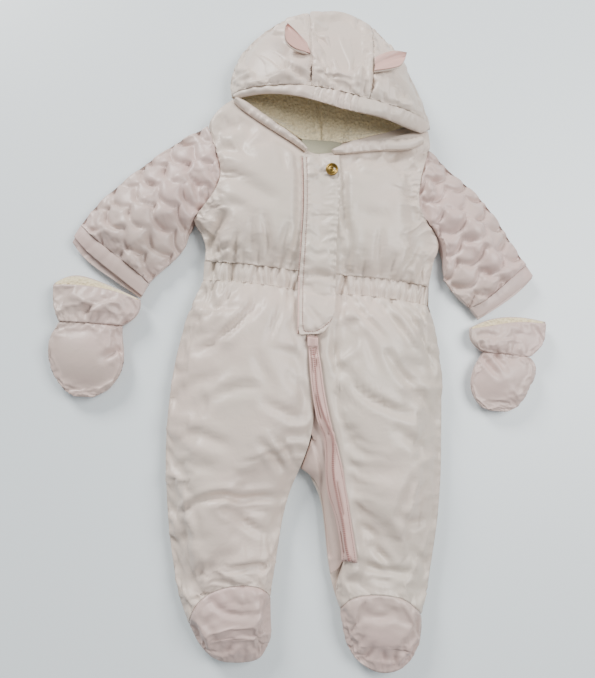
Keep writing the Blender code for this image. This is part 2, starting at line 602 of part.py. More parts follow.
def wall_depth(rings):
    """Share of the wall's thickness at each row: the bag thins where it closes."""
    along = np.linspace(0, 1, len(rings))[:, None, None]
    return 1 - 0.65 * along ** 2 - 0.65 * np.clip(1 - 2.5 * along, 0, 1) ** 2


def build_hood(shell, cream, facing):
    rings, counts = hood_rings(HOOD_ROWS)
    normals = ring_normals(rings, counts)
    pile = build_lining(rings, normals, counts, cream)
    rings = part_seams(rings, counts)
    inside = rings - normals * HOOD_WALL * wall_depth(rings)
    starts = np.cumsum((0,) + counts)
    left = slice(starts[0], starts[1])
    floor = slice(starts[1], starts[2])
    right = slice(starts[2], starts[3])
    crown = slice(starts[3], starts[4])
    clean(slab("hood_side_left", rings[:, left], inside[:, left], shell))
    clean(slab("hood_side_right", rings[:, right], inside[:, right], shell))
    centre_out = np.concatenate([rings[:, crown], rings[:-1, floor][::-1, ::-1]])
    centre_in = np.concatenate([inside[:, crown], inside[:-1, floor][::-1, ::-1]])
    clean(slab("hood_centre", centre_out, centre_in, shell))
    build_facing(pile, normals, floor, facing)
    return rings, normals


def build_facing(pile, normals, floor, facing):
    """The facing inside the back of the neck, laid on the lining."""
    steps = np.linspace(0.1, 0.9, 4)[:, None, None]
    patch = pile[0, floor] * (1 - steps) + pile[1, floor] * steps
    lean = normals[0, floor] * (1 - steps) + normals[1, floor] * steps
    middle = patch[:, 2:3]
    patch = middle + (patch - middle) * 0.85
    slab("neck_facing", patch - lean * GAP * 1.5, patch - lean * (GAP * 1.5 + FACING), facing)


def build_lining(rings, normals, counts, cream):
    """The lining, a bag inside the hood, clear of its wall. Gives the surface of the pile."""
    middle = rings.mean(axis=1, keepdims=True)
    outer = rings - normals * (HOOD_WALL * wall_depth(rings) + LINING_CLEAR)
    outer = outer + (middle - outer) * np.array([LINING_DRAW, LINING_DRAW, 0])
    pile = outer - normals * LINING * wall_depth(rings)
    outer[0] += (outer[1] - outer[0]) * LINING_RECESS
    pile[0] += (pile[1] - pile[0]) * LINING_RECESS
    starts = np.cumsum((0,) + counts)[:-1]
    keep = [c for c in range(rings.shape[1]) if c not in starts]
    outer, inner = outer[:, keep], pile[:, keep]
    rows, columns = outer.shape[:2]
    vertices = points_of(outer) + points_of(inner)
    count = rows * columns
    faces = []
    for r in range(rows - 1):
        for c in range(columns):
            n = (c + 1) % columns
            a, b, d, e = r * columns + c, r * columns + n, (r + 1) * columns + c, (r + 1) * columns + n
            faces += [(a, e, d), (a, b, e)]
            faces += [(count + a, count + d, count + e), (count + a, count + e, count + b)]
    for c in range(columns):
        n = (c + 1) % columns
        faces += [(n, c, count + c), (n, count + c, count + n)]
    obj = add_object("hood_lining", vertices, faces, cream)
    clean(obj)
    return pile


def build_brim(rings, normals, shell):
    """The elastic casing along the upper edge of the opening."""
    total = rings.shape[1]
    arch = list(range(4, -1, -1)) + list(range(total - 2, total - 5, -1))
    arch += list(range(total - 6, total - 11, -1))
    seam = rings[0, arch]
    edge = through(BRIM_EDGE, len(arch))
    seam_line = seam + (edge - seam) / np.linalg.norm(edge - seam, axis=1, keepdims=True) * 0.8
    rows = []
    lows = []
    for share, puff in ((0.0, 0.0), (0.3, 1.6), (0.7, 1.6), (1.0, -1.5)):
        line = seam_line + (edge - seam_line) * share
        out = normals[0, arch]
        rows.append(line + out * puff)
        lows.append(line + out * (-5.5 if share < 1 else -4.5))
    clean(slab("hood_brim", np.array(rows), np.array(lows), shell))


def height_finder(names):
    """Height of the tallest named piece over a plan point, in millimetres."""
    trees = [BVHTree.FromPolygons([v.co.copy() for v in bpy.data.objects[name].data.vertices],
                                  [tuple(p.vertices) for p in bpy.data.objects[name].data.polygons]) for name in names]

    def height(x, y, reach=0.0):
        best = None
        around = [(0, 0)] + [(reach * i, reach * j) for i in (-1, 1) for j in (-1, 1)] * (reach > 0)
        for dx, dy in around:
            start = (Vector((x + dx, y + dy, 0)) + SHIFT) * MM
            start.z = 0.3
            for tree in trees:
                hit = tree.ray_cast(start, Vector((0, 0, -1)))[0]
                if hit is not None and (best is None or hit.z / MM > best):
                    best = hit.z / MM
        return best

    return height


def draped(name, plan, height, lift, thick, material, reach=3.0, fallback=20.0):
    """A thin piece that lies on what is under it."""
    lows = np.zeros(plan.shape[:2])
    for index in np.ndindex(plan.shape[:2]):
        found = height(plan[index][0], plan[index][1], reach)
        lows[index] = (fallback if found is None else found) + lift
    return slab(name, with_heights(plan, lows + thick), with_heights(plan, lows), material)


def build_closure(shell, pink, brass):
    body = ["bodice_front_left", "bodice_front_right", "waist_front_left", "waist_front_right",
            "leg_front_left", "leg_front_right", "gusset"]
    height = height_finder(body)
    left = through(FLAP_EDGE_LEFT, 19)
    right = through(FLAP_EDGE_RIGHT, 19)
    shares = np.linspace(0, 1, 5)[None, :, None]
    plan = left[:, None] * (1 - shares) + right[:, None] * shares
    draped("placket", plan, height, 3 * GAP, FLAP_THICK, shell)
    build_snap(height_finder(["placket"]), brass)
    line = through(ZIP_LINE, 26)
    along = np.gradient(line, axis=0)
    across = np.stack([-along[:, 1], along[:, 0]], axis=1)
    across /= np.linalg.norm(across, axis=1, keepdims=True)
    half = CHAIN_WIDTH / 2
    strips = (("zip_tape_right", half + GAP, half + GAP + TAPE_WIDTH, 3, TAPE_THICK, pink),
              ("zip_chain", -half, half, 3, CHAIN_THICK, pink),
              ("zip_tape_left", -half - GAP - TAPE_WIDTH, -half - GAP, 3, TAPE_THICK, pink))
    for name, low, high, count, thick, material in strips:
        offsets = np.linspace(low, high, count)[None, :, None]
        start = 2
        plan = line[start:, None] + across[start:, None] * offsets
        draped(name, plan, height, 3 * GAP, thick, material, 4.5)
    ends = [np.array(row, dtype=float) for row in GARAGE]
    plan = between_rows([through(row, 4) for row in ends], 4)
    plan[:, :, 1] -= 1.0
    draped("zip_garage", plan, height, GAP, 2.0, pink, 2.0)


def build_snap(height, brass):
    """The cap of the press stud: a low dome with a raised ring."""
    x, y = SNAP_PLACE
    base = height(x, y, SNAP_RADIUS * 0.7) + GAP
    profile = [(SNAP_RADIUS * 0.98, 0.0), (SNAP_RADIUS, 1.0), (SNAP_RADIUS * 0.88, 2.0), (SNAP_RADIUS * 0.74, 1.9),
               (SNAP_RADIUS * 0.66, 1.4), (SNAP_RADIUS * 0.45, 2.3), (0.0, 2.9)]
    steps = 18
    vertices = []
    for radius, z in profile[:-1]:
        for k in range(steps):
            angle = 2 * np.pi * k / steps
            vertices.append((x + radius * np.cos(angle), y + radius * np.sin(angle), base + z))
    top = len(vertices)
    vertices += [(x, y, base + profile[-1][1]), (x, y, base)]
    faces = []
    for level in range(len(profile) - 2):
        for k in range(steps):
            n = (k + 1) % steps
            a, b = level * steps + k, level * steps + n
            faces += [(a, b, b + steps), (a, b + steps, a + steps)]
    last = (len(profile) - 2) * steps
    for k in range(steps):
        n = (k + 1) % steps
        faces += [(last + k, last + n, top), (n, k, top + 1)]
    add_object("snap_cap", vertices, faces, brass)


def build_rims(shell):
    """The lower edges of the opening, lying on the shoulders."""
    height = height_finder(["bodice_front_left", "bodice_front_right", "hood_side_left", "hood_side_right", "hood_centre"])
    for side, table, count in (("left", RIM_LEFT, 13), ("right", RIM_RIGHT, 15)):
        outer = through([row[0] for row in table], count)
        inner = through([row[1] for row in table], count)
        shares = np.linspace(0, 1, 4)[None, :, None]
        plan = outer[:, None] * (1 - shares) + inner[:, None] * shares
        lows = np.zeros(plan.shape[:2])
        for index in np.ndindex(plan.shape[:2]):
            found = height(plan[index][0], plan[index][1], 3.0)
            lows[index] = (found or 20.0)
        base = np.maximum(lows, lows.max(axis=1, keepdims=True) - 3) + GAP
        puff = RIM_HEIGHT * np.array([0.55, 1.0, 1.0, 0.55])[None, :]
        slab("hood_rim_" + side, with_heights(plan, base + puff), with_heights(plan, base), shell)


def build_ears(shell, pink):
    height = height_finder(["hood_side_left", "hood_centre", "hood_side_right"])
    for side, table in (("left", EAR_LEFT), ("right", EAR_RIGHT)):
        first = through([row[0] for row in table], 6)
        last = through([row[1] for row in table], 6)
        lifts = through([(row[2], 0) for row in table], 6)[:, 0]
        shares = np.linspace(0, 1, 5)[None, :, None]
        plan = first[:, None] * (1 - shares) + last[:, None] * shares
        lows = np.zeros(plan.shape[:2])
        for index in np.ndindex(plan.shape[:2]):
            lows[index] = height(plan[index][0], plan[index][1], 2.0) or HOOD_SIDE_HEIGHT
        cup = 4.0 * (1 - 4 * shares[..., 0] * (1 - shares[..., 0])) * (lifts[:, None] / 15)
        base = lows.max(axis=1, keepdims=True) * 0.5 + lows * 0.5 + lifts[:, None] + GAP + cup
        base = np.maximum(base, lows + GAP)
        slab("ear_outer_" + side, with_heights(plan, base + EAR_LAYER), with_heights(plan, base), shell)
        upper = base + EAR_LAYER + GAP
        trim = plan + (plan.mean(axis=1, keepdims=True) - plan) * 0.12
        slab("ear_inner_" + side, with_heights(trim, upper + 1.2), with_heights(trim, upper), pink)


def main():
    global collection
    for obj in list(bpy.data.objects):
        bpy.data.objects.remove(obj)
    collection = bpy.data.collections.new("baby_snowsuit")
    bpy.context.scene.collection.children.link(collection)
    shell = make_material("shell", SHELL_COLOUR, 0.42)
    quilt = make_material("quilted_shell", QUILT_COLOUR, 0.45)
    pink = make_material("pink_trim", PINK_COLOUR, 0.55)
    cream = make_material("pile_lining", CREAM_COLOUR, 0.95)
    facing = make_material("neck_facing_cloth", FACING_COLOUR, 0.8)
    brass = make_material("snap_brass", BRASS_COLOUR, 0.28, 1.0)
    build_body(shell, pink)
    build_sleeves(quilt)
    build_mittens(shell, cream)
    rings, normals = build_hood(shell, cream, facing)
    build_brim(rings, normals, shell)
    build_rims(shell)
    build_closure(shell, pink, brass)
    build_ears(shell, pink)


main()
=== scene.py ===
import math

import bmesh
import bpy
import numpy as np
from mathutils import Matrix, Vector
from mathutils.bvhtree import BVHTree


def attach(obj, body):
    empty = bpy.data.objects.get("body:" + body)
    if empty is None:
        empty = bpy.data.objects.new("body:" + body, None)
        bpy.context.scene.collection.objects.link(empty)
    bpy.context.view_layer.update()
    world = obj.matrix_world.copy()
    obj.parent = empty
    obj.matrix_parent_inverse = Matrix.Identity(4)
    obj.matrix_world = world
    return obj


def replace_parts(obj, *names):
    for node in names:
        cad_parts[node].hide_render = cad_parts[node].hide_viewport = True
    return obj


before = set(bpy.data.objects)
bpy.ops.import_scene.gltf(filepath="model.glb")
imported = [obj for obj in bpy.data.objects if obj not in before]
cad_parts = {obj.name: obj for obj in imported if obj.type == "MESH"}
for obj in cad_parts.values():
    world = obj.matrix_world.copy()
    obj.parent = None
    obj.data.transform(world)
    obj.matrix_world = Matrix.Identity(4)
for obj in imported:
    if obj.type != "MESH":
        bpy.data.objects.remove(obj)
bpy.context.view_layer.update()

# ---- The table, the light and the camera -----------------------------------------------------------
# The suit lies on a plain pale table top under broad, soft ceiling light. The camera stands almost
# straight above it, a little towards the feet and to the side of the plain leg.
MM = 0.001
PLAN_ORIGIN = np.array((-8.0, -21.3))   # the storm flap's lower left corner, in millimetres
SUIT_MIDDLE = Vector((*PLAN_ORIGIN * MM, 0.0))
TABLE_HALF, TABLE_DROP = 6.0, 0.0006
CAMERA_DISTANCE = 0.745
CAMERA_TILT_SIDE, CAMERA_TILT_FEET = math.radians(4.0), math.radians(8.0)
CAMERA_LENS = 33.98


def put_in(tree, socket, value):
    """Links a shader value to a socket, or sets a plain number or colour on it."""
    if isinstance(value, Value):
        tree.links.new(value.socket, socket)
    else:
        socket.default_value = value


class Value:
    """A shader node's output, wrapped so that shader maths reads as plain arithmetic."""

    def __init__(self, tree, socket):
        self.tree, self.socket = tree, socket

    def maths(self, operation, other):
        node = self.tree.nodes.new("ShaderNodeMath")
        node.operation = operation
        put_in(self.tree, node.inputs[0], self)
        put_in(self.tree, node.inputs[1], other)
        return Value(self.tree, node.outputs[0])

    def __add__(self, other):
        return self.maths("ADD", other)

    def __mul__(self, other):
        return self.maths("MULTIPLY", other)

    def __sub__(self, other):
        return self.maths("SUBTRACT", other)

    def __rsub__(self, other):
        return self * -1.0 + other

    __radd__, __rmul__ = __add__, __mul__

    def clamped(self, low, high):
        return self.maths("MAXIMUM", low).maths("MINIMUM", high)


COLOUR_A, COLOUR_B, COLOUR_RESULT = 6, 7, 2   # where a Mix node keeps its two colours and their blend


class Finish:
    """A material under construction: one Principled shader and the nodes that feed it."""

    def __init__(self, name, **constants):
        self.material = bpy.data.materials.new(name)
        self.material.use_nodes = True
        self.tree = self.material.node_tree
        self.shader = self.tree.nodes["Principled BSDF"]
        for socket, value in constants.items():
            self.shader.inputs[socket.replace("_", " ")].default_value = value
        self.place = self.node("ShaderNodeTexCoord", out="Object")

    def node(self, kind, out=0, settings=None, **sockets):
        """Adds a node with its settings, links or sets its inputs, and gives one of its outputs."""
        node = self.tree.nodes.new(kind)
        for key, value in (settings or {}).items():
            setattr(node, key, value)
        for key, value in sockets.items():
            put_in(self.tree, node.inputs[key.replace("_", " ")], value)
        return Value(self.tree, node.outputs[out])

    def noise(self, scale, detail=2.0, roughness=0.5, distortion=0.0):
        return self.node("ShaderNodeTexNoise", Vector=self.place, Scale=scale, Detail=detail,
                         Roughness=roughness, Distortion=distortion)

    def blend(self, share, first, second):
        """One colour turning into another as share goes from 0 to 1."""
        result = self.node("ShaderNodeMix", COLOUR_RESULT, {"data_type": "RGBA"}, Factor=share)
        inputs = result.socket.node.inputs
        inputs[COLOUR_A].default_value = (*first, 1.0)
        inputs[COLOUR_B].default_value = (*second, 1.0)
        return result

    def feed(self, socket, value):
        put_in(self.tree, self.shader.inputs[socket], value)

    def bump(self, height, distance, strength, under=None):
        extra = {"Normal": under} if under else {}
        return self.node("ShaderNodeBump", Height=height, Distance=distance, Strength=strength, **extra)


table_finish = Finish("table_top", Roughness=0.38)
table_finish.feed("Base Color", table_finish.blend(table_finish.noise(3.0, 1.0),
                                                   (0.755, 0.825, 0.86), (0.785, 0.855, 0.885)))
bm = bmesh.new()
bmesh.ops.create_grid(bm, x_segments=1, y_segments=1, size=TABLE_HALF)
bmesh.ops.translate(bm, verts=bm.verts, vec=(0, 0, -TABLE_DROP))
mesh = bpy.data.meshes.new("table_top")
bm.to_mesh(mesh)
bm.free()
table_top = bpy.data.objects.new("table_top", mesh)
bpy.context.collection.objects.link(table_top)
mesh.materials.append(table_finish.material)

world = bpy.data.worlds.new("room")
bpy.context.scene.world = world
world.use_nodes = True
world.node_tree.nodes["Background"].inputs["Color"].default_value = (0.95, 0.975, 1.0, 1.0)
world.node_tree.nodes["Background"].inputs["Strength"].default_value = 0.46


def soft_light(name, place, size, watts, colour):
    light = bpy.data.lights.new(name, "AREA")
    light.shape, light.size, light.size_y = "RECTANGLE", size[0], size[1]
    light.energy, light.color = watts, colour
    lamp = bpy.data.objects.new(name, light)
    bpy.context.collection.objects.link(lamp)
    lamp.location = place
    lamp.rotation_mode = "QUATERNION"
    lamp.rotation_quaternion = (SUIT_MIDDLE - Vector(place)).to_track_quat("-Z", "Y")


soft_light("window_side", (-1.3, 1.9, 1.25), (0.8, 0.8), 84, (1.0, 0.985, 0.965))
soft_light("ceiling_panel", (0.85, 0.25, 1.25), (0.9, 0.9), 26, (1.0, 0.985, 0.965))

camera_data = bpy.data.cameras.new("camera")
camera_data.lens, camera_data.sensor_width = CAMERA_LENS, 36.0
camera = bpy.data.objects.new("camera", camera_data)
bpy.context.collection.objects.link(camera)
away = Vector((-math.sin(CAMERA_TILT_SIDE), -math.sin(CAMERA_TILT_FEET), 0.0))
away.z = math.sqrt(1.0 - away.length_squared)
side = (-away).cross(Vector((0, 1, 0))).normalized()
head_up = side.cross(-away)
camera.matrix_world = Matrix.Translation(SUIT_MIDDLE + away * CAMERA_DISTANCE) @ Matrix(
    (side, head_up, away)).transposed().to_4x4()
bpy.context.scene.camera = camera

# ---- The back of the suit --------------------------------------------------------------------------
# The bodice back, waist back, leg backs and soles: two layers of thin pearly polyester with wadding
# between them. The front of the suit lies on them. Their creases are on the side towards the table.
SEAM_ANGLE = math.radians(55)
FLAT_WALL = 0.3                         # a face whose normal rises less than this is a seam's wall
WELD = 0.01 * MM
SETTLE_FRAMES = 16
SEWN_FADE = 9.0                         # how far from a sewn line the cloth swells in full again
CREASE_GAIN = 1.9                       # every crease is this much deeper than its table says
RIDGE_SHARE, RIDGE_PLACE = 0.3, 1.9     # the cloth pushed up beside a crease: share of its depth, widths away


def shell_finish(name, warm, cool, crinkle=1.0):
    """Thin pearly satin: two shades that run into each other, and a fine crinkle over the weave."""
    finish = Finish(name, Roughness=0.4, Specular_IOR_Level=0.6, Sheen_Weight=0.12, Sheen_Roughness=0.4,
                    Sheen_Tint=(1.0, 0.93, 0.90, 1.0))
    drift = ((finish.noise(9.0, 2.0) - 0.5) * 2.6 + 0.5).clamped(0.0, 1.0)
    finish.feed("Base Color", finish.blend(drift, warm, cool))
    grain = finish.noise(900.0, 2.0)
    finish.feed("Roughness", finish.noise(60.0, 3.0) * 0.12 + 0.36)
    crumple = finish.noise(95.0, 4.0, 0.55, distortion=0.6)
    fine = finish.bump(grain, 0.00012, 0.5)
    finish.feed("Normal", finish.bump(crumple, 0.0011 * crinkle, 0.5, under=fine))
    return finish.material


def finished(piece):
    """Applies the piece's modifiers and leaves its final mesh."""
    mesh = bpy.data.meshes.new_from_object(piece.evaluated_get(bpy.context.evaluated_depsgraph_get()))
    piece.modifiers.clear()
    old, piece.data = piece.data, mesh
    bpy.data.meshes.remove(old)


def cloth_copy(node, levels, walls=True):
    """A merged copy of a CAD piece, smooth between its seams and true to its outline at them."""
    bm = bmesh.new()
    bm.from_mesh(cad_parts[node].data)
    bmesh.ops.remove_doubles(bm, verts=bm.verts, dist=WELD)
    bmesh.ops.join_triangles(bm, faces=bm.faces, angle_face_threshold=0.75, angle_shape_threshold=3.1)
    crease = bm.edges.layers.float.new("crease_edge")
    for edge in bm.edges:
        upright = [abs(face.normal.z) < FLAT_WALL for face in edge.link_faces]
        if edge.calc_face_angle(0) > SEAM_ANGLE or (walls and len(set(upright)) == 2):
            edge[crease] = 1.0
    mesh = bpy.data.meshes.new(node + "_cloth")
    bm.to_mesh(mesh)
    bm.free()
    piece = bpy.data.objects.new(node + "_cloth", mesh)
    bpy.context.collection.objects.link(piece)
    smooth = piece.modifiers.new("smooth", "SUBSURF")
    smooth.levels = smooth.render_levels = levels
    finished(piece)
    return piece


def points_of(piece, kind="co"):
    values = np.empty(len(piece.data.vertices) * 3)
    piece.data.vertices.foreach_get(kind, values)
    return values.reshape(-1, 3)


def highest_facing(piece, side=1):
    """For each vertex, how squarely upwards, or downwards with side -1, the most level of its faces looks."""
    mesh = piece.data
    normals = np.empty(len(mesh.polygons) * 3)
    mesh.polygons.foreach_get("normal", normals)
    sizes = np.empty(len(mesh.polygons), dtype=int)
    mesh.polygons.foreach_get("loop_total", sizes)
    corners = np.empty(len(mesh.loops), dtype=int)
    mesh.loops.foreach_get("vertex_index", corners)
    facing = np.full(len(mesh.vertices), -1.0)
    np.maximum.at(facing, corners, side * np.repeat(normals[2::3], sizes))
    return facing


def put_points(piece, points):
    piece.data.vertices.foreach_set("co", points.astype(np.float32).ravel())
    piece.data.update()


def swell(pieces, grow, pressure, cap, facing=0.25, soft=0.12, above=0.0, under=()):
    """Blows up cloth cut a little too large for its wadding, held at its seams, so that it crumples.

    A point moves no more than cap. Faces that look up less than facing, and points lower than above,
    stay as they are, and so does what lies under a sewn-on piece, given as lines with their reaches."""
    before = []
    for piece in pieces:
        points = points_of(piece)
        fixed = {v for face in piece.data.polygons if face.normal.z < facing for v in face.vertices}
        fixed.update(int(i) for i in np.nonzero(points[:, 2] < above * MM)[0])
        held = piece.vertex_groups.new(name="held")
        held.add(sorted(fixed), 1.0, "REPLACE")
        cloth = piece.modifiers.new("cloth", "CLOTH")
        settings = cloth.settings
        settings.vertex_group_mass = "held"
        settings.quality, settings.mass, settings.air_damping = 3, 0.1, 2.0
        settings.bending_stiffness = soft
        settings.shrink_min = settings.shrink_max = -grow
        settings.use_pressure, settings.uniform_pressure_force = True, pressure
        settings.effector_weights.gravity = 0
        cloth.collision_settings.use_collision = False
        cloth.point_cache.frame_start, cloth.point_cache.frame_end = 1, SETTLE_FRAMES
        before.append(points)
    for step in range(1, SETTLE_FRAMES + 1):
        bpy.context.scene.frame_set(step)
    for piece, points in zip(pieces, before):
        finished(piece)
        piece.vertex_groups.clear()
        moved = points_of(piece) - points
        length = np.linalg.norm(moved, axis=1)
        limit = cap * MM
        moved *= (limit * np.tanh(length / limit) / np.maximum(length, 1e-9))[:, None]
        hand = Handwork(piece)
        for line, reach in under:
            moved *= np.clip((hand.beside(line)[1] - reach) / SEWN_FADE, 0, 1)[:, None]
        put_points(piece, points + moved)
    bpy.context.scene.frame_set(1)


class Handwork:
    """Shapes the upper side of a piece, or its underside with side -1.

    Lines are seen from above, from PLAN_ORIGIN. They and all other sizes are in millimetres."""

    def __init__(self, piece, side=1):
        self.piece, self.side = piece, side
        self.points = points_of(piece) / MM
        self.plan = self.points[:, :2] - PLAN_ORIGIN
        self.share = np.clip((highest_facing(piece, side) - 0.15) / 0.35, 0, 1)
        self.lift = np.zeros(len(self.points))

    def beside(self, line):
        """How far along a line of points each place is, how far from it, and the line's length."""
        line = np.array(line, dtype=float)
        best = np.full(len(self.plan), 1e9)
        along = np.zeros(len(self.plan))
        gone = 0.0
        for a, b in zip(line[:-1], line[1:]):
            step = b - a
            length = np.linalg.norm(step)
            share = np.clip((self.plan - a) @ step / length ** 2, 0, 1)
            away = np.linalg.norm(self.plan - a - share[:, None] * step, axis=1)
            nearer = away < best
            best[nearer], along[nearer] = away[nearer], gone + share[nearer] * length
            gone += length
        return along, best, gone

    def trough(self, line, width, depth, start=0.0, end=0.0):
        """A crease that keeps these shares of its depth at its ends, the cloth pushed up on both sides."""
        along, away, length = self.beside(rounded(line))
        share = np.clip(along / length, 0, 1)
        fade = np.sin(np.pi * np.clip(share, 0.02, 0.98)) ** 0.6
        fade = np.maximum(fade, np.where(share < 0.5, start, end))
        ridge = RIDGE_SHARE * np.exp(-(away / width - RIDGE_PLACE) ** 2)
        self.lift += CREASE_GAIN * depth * fade * (ridge - np.exp(-(away / width) ** 2))

    def troughs(self, creases, start=0.0, end=0.0, deep=1.0):
        """All the creases of a table of lines, widths and depths."""
        for line, width, depth in creases:
            self.trough(line, width, deep * depth, start, end)

    def gathers(self, line, reach, pitch, depth, seed):
        """Folds that run out from a gathered seam, uneven in spacing, depth and length."""
        along, away, length = self.beside(line)
        random = np.random.default_rng(seed)
        gaps = random.uniform(0.55, 1.5, max(2, int(length / pitch)))
        stops = np.cumsum(gaps) * length / gaps.sum()
        for stop, gap in zip(stops, gaps):
            wide = 0.3 * pitch * gap
            long = reach * random.uniform(0.35, 1.15)
            lean = random.uniform(-0.25, 0.25)
            across = along + lean * away - stop
            self.lift -= depth * gap * np.exp(-(across / wide) ** 2 - (away / long) ** 2)
        self.lift += depth * 0.35 * np.exp(-(away / reach) ** 2)

    def pinch(self, line, width, depth):
        """Pulls the cloth down along a whole line of stitching, or lifts it where depth is negative."""
        _, away, _ = self.beside(line)
        self.lift -= depth * np.exp(-(away / width) ** 2)

    def done(self):
        self.points[:, 2] += self.side * self.lift * self.share
        put_points(self.piece, self.points * MM)


def rounded(line):
    """Cuts the corners of a line of points twice, so that it curves."""
    line = np.array(line, dtype=float)
    for _ in range(2):
        cut = np.repeat(line, 2, axis=0)[1:-1]
        cut[0::2], cut[1::2] = line[:-1] * 0.75 + line[1:] * 0.25, line[:-1] * 0.25 + line[1:] * 0.75
        line = np.vstack([line[:1], cut, line[-1:]])
    return line


def show(piece, node, material):
    """Keeps a piece above the table and hands it over in place of its CAD node."""
    points = points_of(piece)
    points[:, 2] = np.maximum(points[:, 2], 0.0)
    put_points(piece, points)
    for polygon in piece.data.polygons:
        polygon.use_smooth = True
    piece.data.materials.clear()
    piece.data.materials.append(material)
    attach(piece, "root")
    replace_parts(piece, node)
    return piece


pearl_shell = shell_finish("pearl_shell", (0.665, 0.545, 0.475), (0.60, 0.525, 0.45))
# the same shell cloth in a rosier tint and darker: painted shade laid into the colour of the sleeves, mittens
# and toe caps
rosy_shaded_shell = shell_finish("rosy_shaded_shell", (0.57, 0.415, 0.385), (0.53, 0.425, 0.375), crinkle=0.8)

BACK_WAIST_TOP, BACK_WAIST_LOW = [(-108, 86), (20, 78), (153, 60)], [(-109, 64), (20, 52), (152, 38)]
BACK_CREASES = {
    "bodice_back": [
        # line of the crease                        width  depth
        ([(-84, 90), (-80, 116), (-70, 140)],        5.0,   1.2),
        ([(-40, 84), (-42, 112)],                    4.5,   1.4),
        ([(10, 80), (12, 108), (6, 130)],            5.0,   1.4),
        ([(112, 70), (122, 98)],                     5.0,   1.2),
        ([(-92, 190), (-60, 176), (-30, 170)],       8.0,   1.2),
        ([(140, 196), (110, 180), (84, 176)],        8.0,   1.2),
    ],
    "waist_back": [],
    "leg_back_left": [
        ([(-130, -60), (-96, -52), (-50, -60)],      6.0,   1.4),
        ([(-132, -176), (-90, -168), (-30, -174)],   5.0,   1.8),
        ([(-60, 40), (-80, 10), (-104, -14)],        5.0,   1.4),
        ([(-110, -236), (-80, -228), (-44, -234)],   5.0,   1.2),
    ],
    "leg_back_right": [
        ([(50, -54), (90, -62), (140, -56)],         6.0,   1.4),
        ([(44, -172), (80, -166), (146, -178)],      5.0,   1.8),
        ([(80, 40), (104, 10), (128, -14)],          5.0,   1.4),
        ([(60, -240), (96, -232), (130, -238)],      5.0,   1.2),
    ],
    "sole_left": [([(-96, -306), (-70, -300), (-48, -308)], 4.0, 1.0)],
    "sole_right": [([(66, -320), (88, -314), (112, -322)], 4.0, 1.0)],
}
for node, creases in BACK_CREASES.items():
    back = cloth_copy(node, 3)
    hand = Handwork(back, side=-1)
    hand.troughs(creases, start=0.4, end=0.4)
    hand.gathers(BACK_WAIST_TOP, reach=24, pitch=8.0, depth=2.0, seed=81)
    hand.gathers(BACK_WAIST_LOW, reach=26, pitch=8.0, depth=2.0, seed=82)
    hand.done()
    show(back, node, pearl_shell)

# ---- The front of the bodice -----------------------------------------------------------------------
# Two padded chest panels, sewn to the waist casing, the sleeves and the hood's rim. The elastic below
# draws upright folds into their lower part, and each armhole pulls creases across its corner.
SIDE_SEED = {"left": 4, "right": 5}   # the same folds are drawn on both pieces that a seam joins
FRONT_WAIST_TOP = {"left": [(-108, 86), (-40, 80), (3, 76)], "right": [(42, 71), (90, 68), (153, 60)]}
FRONT_EDGE = {"left": [(-2, 210), (-2, 78)], "right": [(50, 206), (46, 74)]}
FLAP_MIDDLE = [(26, 212), (24, 120), (19, 8)]
NECK_EDGE = [(-84, 280), (-38, 252), (10, 219), (41, 218), (100, 232), (155, 246)]
BODICE_CREASES_LEFT = [
    # line of the crease                              width  depth
    ([(-50, 86), (-56, 104), (-52, 134)],              4.5,   2.2),
    ([(-37, 80), (-36, 104), (-41, 138)],              4.0,   3.0),
    ([(-21, 78), (-20, 100), (-11, 128)],              4.5,   3.0),
    ([(-9, 78), (-8, 96), (-3, 118)],                  3.5,   2.0),
    ([(-70, 88), (-74, 102), (-70, 116)],              3.5,   1.6),
    ([(-104, 100), (-94, 122), (-80, 142)],            5.0,   3.0),
    ([(-100, 93), (-84, 100), (-66, 97)],              3.5,   1.8),
    ([(-88, 186), (-60, 171), (-40, 158), (-24, 150)], 9.0,   2.2),
    ([(-92, 222), (-68, 213), (-52, 203)],             7.0,   1.8),
    ([(-24, 222), (-18, 205), (-16, 186)],             4.0,   1.4),
    ([(-6, 210), (-4, 190)],                           3.0,   1.2),
    ([(-90, 150), (-76, 148), (-62, 140)],             6.0,   1.5),
]
BODICE_CREASES_RIGHT = [
    ([(57, 74), (58, 106), (52, 136), (50, 152)],      4.0,   3.0),
    ([(73, 72), (74, 88), (71, 100)],                  3.5,   1.8),
    ([(90, 72), (90, 98), (92, 124)],                  3.5,   2.4),
    ([(112, 66), (124, 84), (138, 108)],               5.0,   3.0),
    ([(104, 68), (108, 84), (118, 98)],                4.0,   1.6),
    ([(132, 196), (128, 160), (132, 128)],             8.0,   2.6),
    ([(62, 196), (74, 186), (86, 184)],                6.0,   1.2),
    ([(118, 222), (104, 206), (84, 200)],              6.0,   1.6),
    ([(148, 226), (140, 208), (138, 190)],             5.0,   1.8),
    ([(66, 140), (84, 134), (104, 138)],               9.0,   1.4),
]


def elastic_top(hand, side):
    """The folds above and across the waist casing's upper seam, and the seam's low ridge."""
    hand.gathers(FRONT_WAIST_TOP[side], reach=30, pitch=8.0, depth=3.6, seed=SIDE_SEED[side])
    hand.pinch(FRONT_WAIST_TOP[side], 3.0, -0.6)


chest = {side: cloth_copy("bodice_front_" + side, 3) for side in ("left", "right")}
swell(chest.values(), grow=0.10, pressure=2.2, cap=8.0, under=[(FLAP_MIDDLE, 23), (NECK_EDGE, 8)])
for side, creases in (("left", BODICE_CREASES_LEFT), ("right", BODICE_CREASES_RIGHT)):
    hand = Handwork(chest[side])
    hand.troughs(creases, start=0.5)
    elastic_top(hand, side)
    hand.gathers(FRONT_EDGE[side], reach=9, pitch=11, depth=1.0, seed=30 + SIDE_SEED[side])
    hand.done()
    show(chest[side], "bodice_front_" + side, pearl_shell)

